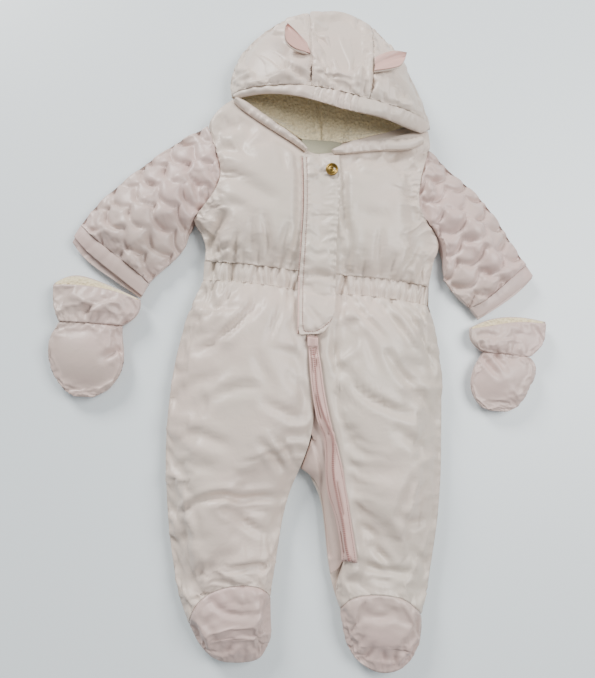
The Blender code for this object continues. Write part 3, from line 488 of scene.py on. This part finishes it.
# ---- The waist casing ------------------------------------------------------------------------------
# A band of the shell cloth with elastic in it, which gathers it tightly: the folds stand upright across
# the whole band and run on above and below it.
FRONT_WAIST_LOW = {"left": [(-109, 64), (-45, 60), (1, 53)], "right": [(40, 50), (85, 47), (152, 38)]}


def elastic_low(hand, side):
    """The folds below and across the waist casing's lower seam, and the seam's low ridge."""
    hand.gathers(FRONT_WAIST_LOW[side], reach=34, pitch=7.0, depth=3.6, seed=10 + SIDE_SEED[side])
    hand.pinch(FRONT_WAIST_LOW[side], 3.0, -0.6)


waist = {side: cloth_copy("waist_front_" + side, 4) for side in ("left", "right")}
for side, band in waist.items():
    hand = Handwork(band)
    elastic_top(hand, side)
    elastic_low(hand, side)
    hand.done()
    show(band, "waist_front_" + side, pearl_shell)

# ---- The legs and feet -----------------------------------------------------------------------------
# Each leg front is one long padded panel that ends in a toe cap sewn on across the foot. Folds fan out
# from the gathered waist, a deep one lies across the knee, and the feet crumple towards their tips.
LEG_CREASES_LEFT = [
    ([(-40, 56), (-50, 32), (-70, 10), (-88, -6), (-112, -20)],             4.5, 4.2),
    ([(-30, 54), (-36, 44), (-47, 26), (-60, 8)],                           3.5, 2.4),
    ([(-62, 60), (-76, 46), (-92, 28), (-106, 18)],                         4.0, 2.6),
    ([(-21, 54), (-20, 34), (-27, 12), (-36, -8)],                          4.0, 2.8),
    ([(-8, 54), (-13, 34), (-17, 16)],                                      4.0, 2.4),
    ([(-92, 62), (-104, 50), (-112, 40)],                                   3.5, 1.8),
    ([(-100, -74), (-84, -64), (-58, -58), (-34, -62)],                     5.5, 2.6),
    ([(-136, -70), (-122, -58), (-100, -52)],                               6.0, 2.0),
    ([(-122, -104), (-98, -114), (-74, -123)],                              6.0, 2.2),
    ([(-40, -74), (-22, -85), (2, -94)],                                    4.5, 2.6),
    ([(-46, -28), (-42, -44), (-30, -56)],                                  6.0, 1.8),
    ([(-12, -50), (2, -62), (10, -80)],                                     6.0, 1.8),
    ([(-42, -118), (-26, -134), (-16, -152)],                               4.5, 2.6),
    ([(-30, -112), (-16, -122), (-8, -140)],                                3.5, 1.8),
    ([(-120, -186), (-104, -177), (-80, -172), (-64, -179), (-42, -176), (-20, -178)], 4.2, 4.6),
    ([(-82, -186), (-64, -190), (-48, -188), (-34, -191)],                  3.5, 2.4),
    ([(-78, -190), (-64, -198), (-50, -209), (-34, -216)],                  4.0, 3.0),
    ([(-138, -190), (-126, -193), (-114, -188)],                            4.0, 2.2),
    ([(-108, -206), (-112, -190), (-100, -182)],                            5.0, 2.2),
    ([(-136, -224), (-116, -216), (-98, -218)],                             6.0, 1.6),
    ([(-112, -264), (-102, -248), (-86, -240), (-66, -242)],                5.0, 2.2),
    ([(-60, -250), (-44, -246), (-32, -254)],                               4.5, 1.6),
    ([(-128, -146), (-108, -142), (-88, -148)],                             7.0, 1.6),
]
LEG_CREASES_RIGHT = [
    ([(60, 46), (66, 30), (78, 14), (93, -6)],                              3.8, 3.0),
    ([(74, 46), (82, 30), (94, 16), (103, 4)],                              3.5, 2.0),
    ([(86, 44), (98, 26), (110, 10), (126, -12)],                           4.2, 3.2),
    ([(108, 42), (120, 26), (134, 8), (146, -16), (151, -40)],              4.5, 3.4),
    ([(126, 42), (136, 30), (146, 18)],                                     3.5, 2.2),
    ([(47, 46), (46, 30), (42, 14)],                                        3.5, 2.0),
    ([(40, 10), (38, -20), (42, -38), (52, -54)],                           4.5, 2.6),
    ([(52, -40), (60, -58), (72, -70), (92, -79), (108, -86), (128, -88)],  4.5, 4.2),
    ([(74, -4), (80, -24), (86, -42)],                                      5.0, 2.4),
    ([(96, -22), (114, -47), (130, -64), (146, -82), (154, -96)],           4.8, 3.8),
    ([(122, -46), (138, -62), (150, -74)],                                  4.0, 2.0),
    ([(106, -106), (122, -116), (134, -128)],                               6.0, 2.0),
    ([(122, -160), (112, -180), (108, -196)],                               5.0, 2.2),
    ([(106, -196), (122, -207), (146, -200)],                               5.0, 2.6),
    ([(66, -208), (76, -213), (86, -224)],                                  3.8, 2.2),
    ([(80, -228), (88, -238), (100, -250)],                                 4.0, 3.0),
    ([(62, -244), (78, -252), (96, -256), (122, -258)],                     4.5, 3.0),
    ([(80, -262), (92, -266), (104, -264)],                                 3.5, 2.0),
    ([(124, -236), (134, -244), (142, -256)],                               4.5, 1.8),
    ([(70, -140), (90, -150), (112, -146)],                                 9.0, 1.6),
]
TOE_CREASES_LEFT = [
    ([(-92, -284), (-76, -296), (-52, -298), (-36, -293)],                  3.5, 2.6),
    ([(-76, -286), (-58, -287), (-40, -285)],                               3.0, 1.8),
    ([(-104, -300), (-92, -312), (-88, -328)],                              4.5, 1.8),
    ([(-84, -344), (-74, -332), (-70, -322)],                               3.5, 1.8),
    ([(-58, -346), (-56, -334), (-60, -326)],                               3.0, 1.4),
]
TOE_CREASES_RIGHT = [
    ([(74, -300), (88, -304), (102, -296)],                                 4.5, 2.0),
    ([(56, -336), (66, -330), (70, -318)],                                  3.5, 1.6),
    ([(66, -350), (76, -342), (80, -330)],                                  3.2, 2.0),
    ([(90, -358), (92, -346), (88, -336)],                                  3.2, 2.2),
    ([(104, -356), (102, -344), (106, -334)],                               3.0, 1.8),
    ([(116, -346), (112, -336), (112, -326)],                               3.0, 1.4),
]
TOE_SEAM = {
    "left": [(-113, -297), (-110, -284), (-95, -273), (-68, -267), (-41, -270), (-32, -277)],
    "right": [(46, -290), (60, -281), (88, -280), (114, -285), (129, -291)],
}
legs = {side: cloth_copy("leg_front_" + side, 3) for side in ("left", "right")}
toes = {side: cloth_copy("toe_" + side, 3) for side in ("left", "right")}
ZIP_MIDDLE = [(14, -4), (18, -60), (27, -95), (35, -115), (37, -160), (46, -205), (53, -245)]
swell([*legs.values(), *toes.values()], grow=0.075, pressure=2.4, cap=8.0, soft=0.3,
      under=[(FLAP_MIDDLE, 23), (ZIP_MIDDLE, 12)])
for side, leg_creases, toe_creases in (("left", LEG_CREASES_LEFT, TOE_CREASES_LEFT),
                                       ("right", LEG_CREASES_RIGHT, TOE_CREASES_RIGHT)):
    hand = Handwork(legs[side])
    hand.troughs(leg_creases, start=0.6)
    elastic_low(hand, side)
    hand.gathers(TOE_SEAM[side], reach=9, pitch=9.0, depth=1.2, seed=20 + SIDE_SEED[side])
    hand.done()
    show(legs[side], "leg_front_" + side, pearl_shell)
    hand = Handwork(toes[side])
    hand.troughs(toe_creases, start=0.6, deep=0.65)
    hand.gathers(TOE_SEAM[side], reach=8, pitch=9.0, depth=1.0, seed=20 + SIDE_SEED[side])
    hand.done()
    show(toes[side], "toe_" + side, rosy_shaded_shell)

# ---- The sleeves -----------------------------------------------------------------------------------
# Set-in sleeves of the same cloth, stitched through to the wadding in rows of curves, with a plain
# turned hem at the wrist. The sewn curves sink and the cloth stands up in pillows between them.
QUILT_ROW, QUILT_SCALLOP, QUILT_RISE = 21.0, 34.0, 11.0   # row spacing, width and height of one curve
QUILT_PILLOW = 2.6                                        # how far the cloth stands up between the curves
QUILT_STITCH, QUILT_HOLLOW = (5.2, 2.4), (3.2, 6.5)       # depth and reach of the stitching and its hollow
QUILT_BACK = (2.0, 3.0)
HEM_MIDDLE = {"left": [(-258, 99), (-210, 65)], "right": [(184, 52), (238, 84)]}


def quilt_distance(plan, shoulder, wrist):
    """How far each place is from the nearest stitched curve; the rows run across the sleeve."""
    start, end = np.array(shoulder, dtype=float), np.array(wrist, dtype=float)
    down = (end - start) / np.linalg.norm(end - start)
    out = np.array((-down[1], down[0]))
    along, across = (plan - start) @ down, (plan - start) @ out
    best = np.full(len(plan), 1e9)
    for row in range(-3, 12):
        shifted = across / QUILT_SCALLOP + 0.5 * (row % 2)
        share = shifted - np.floor(shifted)
        curve = row * QUILT_ROW + QUILT_RISE * np.sin(np.pi * share) ** 0.8
        slope = QUILT_RISE * np.pi / QUILT_SCALLOP * np.cos(np.pi * share)
        best = np.minimum(best, np.abs(along - curve) / np.sqrt(1 + slope ** 2))
    return best


def sunk(away, stitch):
    """How deep stitching of this depth and reach pulls the cloth at a distance from it."""
    depth, reach = stitch
    return depth * np.exp(-(away / reach) ** 2)


sleeves = {side: cloth_copy("sleeve_front_" + side, 3) for side in ("left", "right")}
swell(sleeves.values(), grow=0.06, pressure=2.0, cap=5.0)
for side, shoulder, wrist, creases in (
        ("left", (-100, 200), (-225, 95), [([(-118, 168), (-112, 152), (-114, 134)], 4.0, 3.0),
                                           ([(-100, 170), (-108, 150), (-104, 132)], 4.0, 2.4),
                                           ([(-180, 170), (-168, 160), (-158, 142)], 6.0, 1.6)]),
        ("right", (150, 190), (222, 62), [([(152, 128), (154, 112), (160, 96)], 4.5, 3.4),
                                          ([(158, 196), (166, 176), (162, 150)], 5.0, 2.2),
                                          ([(146, 170), (150, 150), (148, 132)], 4.5, 2.0)])):
    hand = Handwork(sleeves[side])
    away = quilt_distance(hand.plan, shoulder, wrist)
    # the thread is drawn tighter in some places than in others
    pull = 0.75 + 0.35 * np.sin(hand.plan @ (0.19, 0.05)) * np.sin(hand.plan @ (-0.07, 0.23))
    hand.lift += QUILT_PILLOW - pull * (sunk(away, QUILT_STITCH) + sunk(away, QUILT_HOLLOW))
    hand.troughs(creases, start=0.6)
    hand.done()
    show(sleeves[side], "sleeve_front_" + side, rosy_shaded_shell)
    back = cloth_copy("sleeve_back_" + side, 3)
    hand = Handwork(back, side=-1)
    hand.lift -= sunk(quilt_distance(hand.plan, shoulder, wrist), QUILT_BACK)
    hand.done()
    show(back, "sleeve_back_" + side, rosy_shaded_shell)
    for layer in ("front", "back"):
        node = "sleeve_hem_" + layer + "_" + side
        hem = cloth_copy(node, 3)
        hand = Handwork(hem)
        hand.gathers(HEM_MIDDLE[side], reach=30, pitch=9, depth=1.2, seed=5)
        hand.done()
        show(hem, node, rosy_shaded_shell)

# ---- The mittens -----------------------------------------------------------------------------------
# Two loose padded bags for the hands, drawn in at the wrist by elastic below a wide flared cuff, and
# lined with cream pile that shows along the cuff's mouth.
MITTEN_CREASES_LEFT = [
    ([(-248, 22), (-228, 34), (-206, 44)],   3.5, 2.2),
    ([(-232, 38), (-236, 26), (-238, 16)],   3.5, 1.8),
    ([(-217, -28), (-208, -20), (-198, -14)], 4.0, 2.4),
    ([(-196, 20), (-193, 8), (-195, -6)],    3.5, 2.2),
]
MITTEN_CREASES_RIGHT = [
    ([(214, -18), (220, -30), (230, -44)],   3.5, 2.8),
    ([(226, -14), (234, -26), (238, -40)],   3.2, 2.2),
    ([(206, 2), (220, 6), (232, 2)],         3.2, 1.6),
]
mittens = {side: cloth_copy("mitten_front_" + side, 3) for side in ("left", "right")}
cuffs = {side: cloth_copy("mitten_cuff_front_" + side, 3) for side in ("left", "right")}
swell([*mittens.values(), *cuffs.values()], grow=0.08, pressure=1.8, cap=5.0)
for side, creases, wrist in (("left", MITTEN_CREASES_LEFT, [(-268, 20), (-240, 24), (-196, 18)]),
                             ("right", MITTEN_CREASES_RIGHT, [(206, -12), (222, -6), (258, -18)])):
    for piece, node, fill in ((mittens[side], "mitten_front_" + side, 0.6),
                              (cuffs[side], "mitten_cuff_front_" + side, 0.35)):
        hand = Handwork(piece)
        hand.troughs(creases)
        hand.gathers(wrist, reach=14, pitch=7.0, depth=2.2, seed=40 + SIDE_SEED[side])
        hand.done()
        show(piece, node, rosy_shaded_shell)
    for node in ("mitten_back_" + side, "mitten_cuff_back_" + side):
        show(cloth_copy(node, 2), node, rosy_shaded_shell)

# ---- The hood --------------------------------------------------------------------------------------
# Three padded panels make the hood: a left and a right side and one over the crown, which is gathered
# into the brim. Brim and lower rims are narrow padded rolls round the opening.
HOOD_CREASES = {
    "hood_side_left": [
        ([(-46, 334), (-28, 320), (-18, 304), (-4, 297), (8, 288)],  3.2, 3.2),
        ([(-62, 330), (-52, 316), (-48, 300)],                       6.0, 2.0),
        ([(-30, 356), (-14, 350), (0, 356)],                         5.0, 1.6),
        ([(-70, 300), (-56, 296), (-40, 298)],                       4.0, 1.6),
    ],
    "hood_centre": [
        ([(18, 350), (28, 338), (34, 322), (34, 310)],               3.4, 3.0),
        ([(40, 366), (38, 344), (45, 318), (54, 292)],               4.5, 4.2),
        ([(18, 322), (26, 308), (32, 290)],                          2.8, 2.4),
        ([(26, 322), (34, 306), (38, 288)],                          2.6, 2.4),
        ([(64, 316), (60, 300), (60, 284)],                          3.0, 2.4),
        ([(74, 372), (66, 354), (66, 332), (70, 312)],               4.0, 2.6),
        ([(14, 362), (26, 356), (38, 360)],                          3.5, 1.8),
        ([(76, 330), (74, 308), (72, 288)],                          3.2, 2.2),
    ],
    "hood_side_right": [
        ([(90, 372), (98, 358), (92, 344)],                          4.0, 2.4),
        ([(98, 378), (110, 358), (112, 346)],                        4.0, 1.8),
        ([(112, 300), (128, 290), (142, 274)],                       3.8, 2.4),
        ([(100, 294), (114, 286), (124, 274)],                       3.2, 1.6),
        ([(90, 300), (96, 288), (96, 276)],                          3.0, 1.6),
    ],
}
BRIM_SEAM = [(-79, 283), (-64, 289), (-41, 292), (-18, 294), (-2, 287), (10, 284), (29, 279), (47, 273),
             (70, 269), (103, 269), (126, 265), (143, 256)]
hood = {node: cloth_copy(node, 3, walls=False) for node in HOOD_CREASES}
swell(hood.values(), grow=0.09, pressure=2.0, cap=6.0, facing=0.1, above=17.0,
      under=[([(-18, 358), (12, 330)], 4), ([(86, 314), (122, 326)], 4)])
for node, creases in HOOD_CREASES.items():
    hand = Handwork(hood[node])
    hand.troughs(creases, start=0.4, end=0.4)
    hand.gathers(BRIM_SEAM[4:10], reach=24, pitch=6.0, depth=3.2, seed=50)
    hand.gathers(BRIM_SEAM, reach=9, pitch=11, depth=1.0, seed=51)
    hand.done()
    show(hood[node], node, pearl_shell)

brim = cloth_copy("hood_brim", 3, walls=False)
hand = Handwork(brim)
hand.gathers([(10, 276), (47, 266), (80, 262)], reach=16, pitch=5.5, depth=3.4, seed=61)
hand.gathers([(-74, 280), (-32, 284), (10, 274)], reach=12, pitch=13, depth=1.8, seed=62)
hand.gathers([(80, 262), (108, 262), (143, 248)], reach=12, pitch=9, depth=2.2, seed=63)
hand.done()
show(brim, "hood_brim", pearl_shell)
for node, line in (("hood_rim_left", [(-70, 272), (-36, 250), (6, 221)]),
                   ("hood_rim_right", [(42, 218), (96, 228), (146, 240)])):
    rim = cloth_copy(node, 3, walls=False)
    hand = Handwork(rim)
    hand.gathers(line, reach=12, pitch=9, depth=2.0, seed=64)
    hand.done()
    show(rim, node, pearl_shell)

# ---- The pile lining -------------------------------------------------------------------------------
# A bag of cream curly pile inside the hood, and a strip of it inside each mitten's cuff. At the nape
# a plain grey-green facing covers the seam, from one rim to the other.
LINING_CREASES = [
    ([(-23, 296), (-15, 276), (-8, 258)],            2.5, 1.6),
    ([(25, 294), (26, 268), (27, 240)],              2.2, 1.6),
    ([(66, 280), (56, 258), (50, 240), (43, 226)],   2.6, 2.2),
    ([(-50, 278), (-30, 270), (-10, 262)],           5.0, 1.2),
    ([(70, 262), (92, 256), (118, 254)],             5.0, 1.2),
]
FACING_LEFT, FACING_RIGHT = 15.0, 38.0         # the facing's solid, which is narrower than its cloth
FACING_TOP, FACING_FOOT = 241.0, 232.0
# the cloth's upper and lower edge: left end, right end, place, how far it is raised
NAPE_TOP, NAPE_FOOT = np.array((2.0, 53.0, 238.0, 4.0)), np.array((8.0, 44.0, 213.0, 5.5))
pile = Finish("cream_pile", Roughness=0.95, Sheen_Weight=0.5, Sheen_Roughness=0.6, Specular_IOR_Level=0.2)
curls = pile.noise(330.0, 3.0, 0.6)
tufts = pile.node("ShaderNodeTexVoronoi", Vector=pile.place, Scale=260.0)
tips = ((curls - 0.3) * 1.9).clamped(0, 1)
pile.feed("Base Color", pile.blend(tips, (0.66, 0.55, 0.32), (0.88, 0.78, 0.53)))
pile.feed("Normal", pile.bump(tufts, 0.0022, 0.8, under=pile.bump(curls, 0.0015, 0.6)))
lining = cloth_copy("hood_lining", 3, walls=False)
hand = Handwork(lining)
hand.troughs(LINING_CREASES, start=0.6, end=0.6)
hand.done()
show(lining, "hood_lining", pile.material)
for side in ("left", "right"):
    node = "mitten_lining_" + side
    strip = show(cloth_copy(node, 3), node, pile.material)
    "mitten_cuff_back_%s_cloth" % side
nape = Finish("nape_facing", Roughness=0.7)
nape.feed("Base Color", nape.blend(nape.noise(400.0), (0.27, 0.26, 0.185), (0.35, 0.335, 0.24)))
facing = cloth_copy("neck_facing", 3)
points = points_of(facing) / MM
plan = points[:, :2] - PLAN_ORIGIN
across = np.clip((plan[:, 0] - FACING_LEFT) / (FACING_RIGHT - FACING_LEFT), 0, 1)
down = np.clip((FACING_TOP - plan[:, 1]) / (FACING_TOP - FACING_FOOT), 0, 1)
left, right, place, raised = (NAPE_TOP + down[:, None] * (NAPE_FOOT - NAPE_TOP)).T
points[:, 0] = PLAN_ORIGIN[0] + (1 - across) * left + across * right
points[:, 1] = PLAN_ORIGIN[1] + place
points[:, 2] += raised
put_points(facing, points * MM)
show(facing, "neck_facing", nape.material)

# ---- The ears --------------------------------------------------------------------------------------
# Two small folded flaps caught in the hood's seams, pearly outside and a stronger pink inside. Each is
# folded narrower along one side, which leaves the pink face turned up.
EAR_FOLDS = {
    # root and tip of the flat ear, root and tip as folded, share of the width kept on the folded side
    "left": ((13, 324), (-20, 364), (11, 319), (-18, 353), 0.45),
    "right": ((85, 312), (123, 330), (84, 307), (122, 324), 0.8),
}
ear_pink = shell_finish("ear_pink", (0.60, 0.36, 0.31), (0.66, 0.42, 0.37), crinkle=0.6)


def folded_ear(piece, root, tip, new_root, new_tip, kept):
    """Lays an ear along its folded line and narrows the side to the right of it."""
    root, tip, new_root, new_tip = (np.array(place, dtype=float) for place in (root, tip, new_root, new_tip))
    points = points_of(piece) / MM
    plan = points[:, :2] - PLAN_ORIGIN - root
    line, new_line = tip - root, new_tip - new_root
    along = plan @ line / (line @ line)
    out = plan @ np.array((line[1], -line[0])) / np.linalg.norm(line)
    out = np.where(out > 0, out * kept, out)
    across = np.array((new_line[1], -new_line[0])) / np.linalg.norm(new_line)
    points[:, :2] = new_root + PLAN_ORIGIN + along[:, None] * new_line + out[:, None] * across
    put_points(piece, points * MM)


for side, fold in EAR_FOLDS.items():
    for layer, finish, slot in (("outer", pearl_shell, "shell"), ("inner", ear_pink, "pink_trim")):
        ear = cloth_copy("ear_%s_%s" % (layer, side), 3, walls=False)
        folded_ear(ear, *fold)
        hand = Handwork(ear)
        hand.trough([fold[2], fold[3]], 3.0, 1.2, start=0.8)
        hand.done()
        show(ear, "ear_%s_%s" % (layer, side), finish)

# ---- The storm flap and its snap --------------------------------------------------------------------
# A long padded flap over the zip, sewn down along its piped left side, rounded at its free lower corner
# and closed at the neck by one brass snap cap: a rolled ring round a sunken cup with a raised middle.
SNAP_PLACE = (37, 192)
CAP_PROFILE = [   # radius and height, from the middle out and back beneath
    (0.0, 2.0), (0.9, 1.9), (1.4, 1.2), (1.8, 0.4), (4.0, 0.2), (4.8, 0.9), (5.2, 2.2), (6.0, 2.8),
    (6.8, 2.4), (7.3, 1.2), (7.3, -0.6), (0.0, -0.6)]
FLAP_STITCHING = [(8, 208), (9, 154), (6, 101), (4, 55), (2, 4), (9, 2), (20, 4), (30, 11), (36, 18)]
FLAP_FREE_EDGE = [(44, 178), (44, 150), (40, 106), (38, 54)]
FLAP_CREASES = [
    ([(14, 196), (26, 190), (40, 182)],  4.0, 1.0),
    ([(10, 178), (20, 184), (24, 190)],  2.5, 0.8),
    ([(12, 140), (24, 134), (38, 138)],  5.0, 1.0),
    ([(8, 96), (20, 90), (36, 96)],      4.0, 1.2),
    ([(6, 66), (20, 72), (38, 64)],      4.0, 1.4),
    ([(4, 34), (14, 26), (24, 10)],      4.0, 1.2),
]
WAIST_SEWING = [[(-108, 86), (-40, 80), (0, 76)], [(-109, 64), (-45, 60), (-2, 53)],
                [(46, 71), (90, 68), (153, 60)], [(43, 50), (85, 47), (152, 38)]]
HOOD_SEWING = [[(11.5, 384), (11.5, 340), (12, 283)], [(90, 370), (85, 340), (84, 307), (79, 270)]]
FLAP_PIPING = [(3.2, 209), (4.2, 154), (1.2, 101), (-0.8, 55), (-2.4, 1)]
ABOVE_ALL = 0.3


def spaced(line, step):
    """Places along a rounded line, a step apart."""
    line = rounded(line)
    gone = np.concatenate([[0.0], np.cumsum(np.linalg.norm(np.diff(line, axis=0), axis=1))])
    stops = np.linspace(0.0, gone[-1], max(2, int(round(gone[-1] / step)) + 1))
    return np.stack([np.interp(stops, gone, line[:, 0]), np.interp(stops, gone, line[:, 1])], axis=1)


def top_of(*pieces):
    """Gives a function for how high the topmost of these pieces is above a place, in millimetres."""
    trees = [BVHTree.FromPolygons([v.co for v in piece.data.vertices],
                                  [polygon.vertices for polygon in piece.data.polygons]) for piece in pieces]

    def height(place):
        start = Vector((*(place + PLAN_ORIGIN) * MM, ABOVE_ALL))
        hits = [tree.ray_cast(start, Vector((0, 0, -1)))[0] for tree in trees]
        return max((hit.z / MM for hit in hits if hit), default=0.0)

    return height


def at(place, height):
    return Vector((*(place + PLAN_ORIGIN), height)) * MM


def new_piece(name, bm, material):
    """Makes a finished object of a bmesh that carries no CAD node."""
    mesh = bpy.data.meshes.new(name)
    bm.to_mesh(mesh)
    bm.free()
    for polygon in mesh.polygons:
        polygon.use_smooth = True
    mesh.materials.append(material)
    piece = bpy.data.objects.new(name, mesh)
    bpy.context.collection.objects.link(piece)
    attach(piece, "root")
    return piece


def stitches(name, lines, height, material, pitch, size=(2.2, 1.1, 1.6), across=False):
    """Rows of single stitches, small rounded grains half sunk in the cloth, wherever there is cloth below."""
    bm = bmesh.new()
    grain = Matrix.Diagonal((size[0] / 2, size[1] / 2, size[2] / 2, 1.0))
    for line in lines:
        ends = [at(place, height(place)) for place in spaced(line, pitch)]
        for start, end in zip(ends[:-1], ends[1:]):
            if min(start.z, end.z) <= 0.0:
                continue
            turn = (end - start).to_track_quat("Y" if across else "X", "Z").to_matrix().to_4x4()
            bmesh.ops.create_uvsphere(bm, u_segments=6, v_segments=4, radius=MM,
                                      matrix=Matrix.Translation((start + end) / 2) @ turn @ grain)
    return new_piece(name, bm, material)


flap = cloth_copy("placket", 3)
swell([flap], grow=0.05, pressure=1.2, cap=3.0)
hand = Handwork(flap)
hand.pinch(FLAP_STITCHING, 2.2, 1.4)
hand.pinch([(44, 200), *FLAP_FREE_EDGE[1:], (37, 24)], 2.2, 1.2)
hand.gathers(FLAP_FREE_EDGE, reach=7, pitch=8, depth=1.3, seed=71)
hand.troughs(FLAP_CREASES)
hand.done()
show(flap, "placket", pearl_shell)

thread = Finish("pink_thread", Roughness=0.6)
thread.feed("Base Color", thread.blend(thread.noise(700.0), (0.22, 0.10, 0.085), (0.32, 0.165, 0.14)))
stitches("flap_topstitch", [FLAP_STITCHING], top_of(flap), thread.material, pitch=2.6)
stitches("waist_seams", WAIST_SEWING, top_of(*chest.values(), *legs.values(), *waist.values()),
         pearl_shell, pitch=2.3, size=(2.6, 2.0, 1.4))
stitches("hood_seams", HOOD_SEWING, top_of(*hood.values()), pearl_shell, pitch=2.4,
         size=(2.9, 2.2, 1.6))
piping_cloth = shell_finish("piping_pink", (0.72, 0.49, 0.44), (0.76, 0.54, 0.49), crinkle=0.3)
stitches("flap_piping", [FLAP_PIPING], top_of(chest["left"], flap, legs["left"], waist["left"]),
         piping_cloth, pitch=2.0, size=(2.8, 2.2, 2.0))

brass = Finish("snap_brass", Metallic=1.0, Roughness=0.27)
brass.feed("Base Color", brass.blend(brass.noise(500.0), (0.25, 0.165, 0.045), (0.36, 0.25, 0.08)))
bm = bmesh.new()
profile = [bm.verts.new((radius * MM, 0.0, height * MM)) for radius, height in CAP_PROFILE]
edges = [bm.edges.new(pair) for pair in zip(profile[:-1], profile[1:])]
bmesh.ops.spin(bm, geom=profile + edges, cent=(0, 0, 0), axis=(0, 0, 1), dvec=(0, 0, 0), steps=32,
               angle=math.tau, use_merge=True)
bmesh.ops.remove_doubles(bm, verts=bm.verts, dist=WELD)
bmesh.ops.recalc_face_normals(bm, faces=bm.faces)
bmesh.ops.translate(bm, verts=bm.verts, vec=at(SNAP_PLACE, top_of(flap)(SNAP_PLACE)))
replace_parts(new_piece("snap_cap_turned", bm, brass.material), "snap_cap")

# ---- The leg zip -----------------------------------------------------------------------------------
# A coil zip on pink woven tape runs from the flap down the inside of one leg; a folded tab of tape
# covers its top end. A pink gusset is let in between the legs beside it. Both tapes are topstitched.
ZIP_CHAIN = [(14, -15), (17, -50), (19, -67), (26, -92), (35, -111), (36, -122), (35, -149), (40, -176),
             (46, -203), (49, -228), (53, -243)]
TAPE_EDGES = {
    "left": [(9, -12), (11, -50), (15, -77), (19, -97), (28, -115), (28, -167), (39, -197), (44, -226),
             (46, -245)],
    "right": [(20, -12), (23, -35), (27, -67), (34, -100), (43, -131), (50, -167), (55, -203), (59, -228),
              (61, -245)],
}
TAPE_SPLIT, CHAIN_HALF = 0.6, 1.9   # from the zip's middle line to each tape's inner edge and the coil's
GUSSET_HEIGHT, GUSSET_POINT_HEIGHT = 27.0, 26.0
ZIP_NODES = ["zip_tape_left", "zip_tape_right", "zip_chain", "zip_garage"]
RIBBON_ROWS, RIBBON_COLUMNS = 110, 7
RIBBON_SPAN = 6                     # rows on each side that stiff cloth is levelled over


def shifted(line, across):
    return [(x + across, y) for x, y in line]


gusset = cloth_copy("gusset", 3)
gusset_cloth = shell_finish("gusset_pink", (0.64, 0.47, 0.415), (0.60, 0.47, 0.41))
hand = Handwork(gusset)
hand.trough([(12, -108), (20, -126), (26, -150), (27, -190), (34, -240)], 2.4, 1.4, start=0.8, end=0.8)
hand.done()
show(gusset, "gusset", gusset_cloth)

tape = Finish("pink_tape", Roughness=0.62, Sheen_Weight=0.2)
ribs = tape.node("ShaderNodeTexWave", Vector=tape.place, Scale=420.0, Distortion=0.6)
tape.feed("Base Color", tape.blend(tape.noise(180.0), (0.62, 0.40, 0.36), (0.70, 0.48, 0.43)))
tape.feed("Normal", tape.bump(ribs, 0.0003, 0.4))
leg_top = top_of(legs["right"], legs["left"], gusset, *(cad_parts[node] for node in ZIP_NODES))


def zip_ground(place):
    """The zip bridges the hollow between the legs and never lies deeper than the gusset."""
    return max(leg_top(place), GUSSET_HEIGHT)


def smoothed(values):
    """A running mean, so that stiff tape bridges the small folds of the cloth beneath it."""
    count = 2 * RIBBON_SPAN + 1
    return np.convolve(np.pad(values, RIBBON_SPAN, mode="edge"), np.full(count, 1.0 / count), mode="valid")


def ribbon_edge(line):
    places = spaced(line, 1.0)
    return places[np.linspace(0, len(places) - 1, RIBBON_ROWS).astype(int)][:, None, :]


def ribbon(name, first, second, lift, thick, material, under=zip_ground):
    """A strip of cloth between two lines, lifted off what is under it; lift and thick in millimetres."""
    share = np.linspace(0, 1, RIBBON_COLUMNS)[None, :, None]
    plan = ribbon_edge(first) * (1 - share) + ribbon_edge(second) * share
    heights = np.array([[under(place) for place in row] for row in plan])
    heights = np.stack([np.maximum(smoothed(column), column) for column in heights.T], axis=1) + lift
    bm = bmesh.new()
    bmesh.ops.create_grid(bm, x_segments=RIBBON_COLUMNS - 1, y_segments=RIBBON_ROWS - 1, size=0.5)
    for vert in bm.verts:
        column = round((vert.co.x + 0.5) * (RIBBON_COLUMNS - 1))
        row = round((0.5 - vert.co.y) * (RIBBON_ROWS - 1))
        vert.co = at(plan[row, column], heights[row, column])
    piece = new_piece(name, bm, material)
    wall = piece.modifiers.new("wall", "SOLIDIFY")
    wall.thickness, wall.offset = thick * MM, 1.0
    finished(piece)
    return piece


tapes = []
for side, lines in (("left", (TAPE_EDGES["left"], shifted(ZIP_CHAIN, -TAPE_SPLIT))),
                    ("right", (shifted(ZIP_CHAIN, TAPE_SPLIT), TAPE_EDGES["right"]))):
    strip = ribbon("zip_tape_cloth_" + side, *lines, lift=0.2, thick=0.8, material=tape.material)
    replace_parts(strip, "zip_tape_" + side)
    tapes.append(strip)
# a narrow point of the gusset's cloth closes the gap where the legs part
ribbon("gusset_point", [(4, -66), (7, -92), (16, -116)], [(18, -66), (23, -92), (28, -116)],
       lift=GUSSET_POINT_HEIGHT, thick=1.0, material=gusset_cloth, under=lambda place: 0.0)
stitches("tape_topstitch", [shifted(TAPE_EDGES["left"], 2.0), shifted(TAPE_EDGES["right"], -2.0),
                            [(48, -243), (54, -244), (60, -243)]],
         top_of(*tapes), thread.material, pitch=2.6, size=(1.8, 1.0, 1.6))
coil = Finish("coil_pink", Roughness=0.4)
coil.feed("Base Color", coil.blend(coil.noise(600.0), (0.26, 0.105, 0.095), (0.38, 0.18, 0.16)))
core = ribbon("zip_chain_core", shifted(ZIP_CHAIN, -CHAIN_HALF), shifted(ZIP_CHAIN, CHAIN_HALF),
              lift=0.9, thick=0.7, material=tape.material)
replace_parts(core, "zip_chain")
stitches("zip_teeth", [ZIP_CHAIN], top_of(core, *tapes), coil.material, pitch=2.2,
         size=(4.2, 1.3, 2.4), across=True)
garage = ribbon("zip_garage_cloth", [(8, -2), (8, -14)], [(20, -2), (20, -14)],
                lift=1.6, thick=1.0, material=tape.material)
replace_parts(garage, "zip_garage")
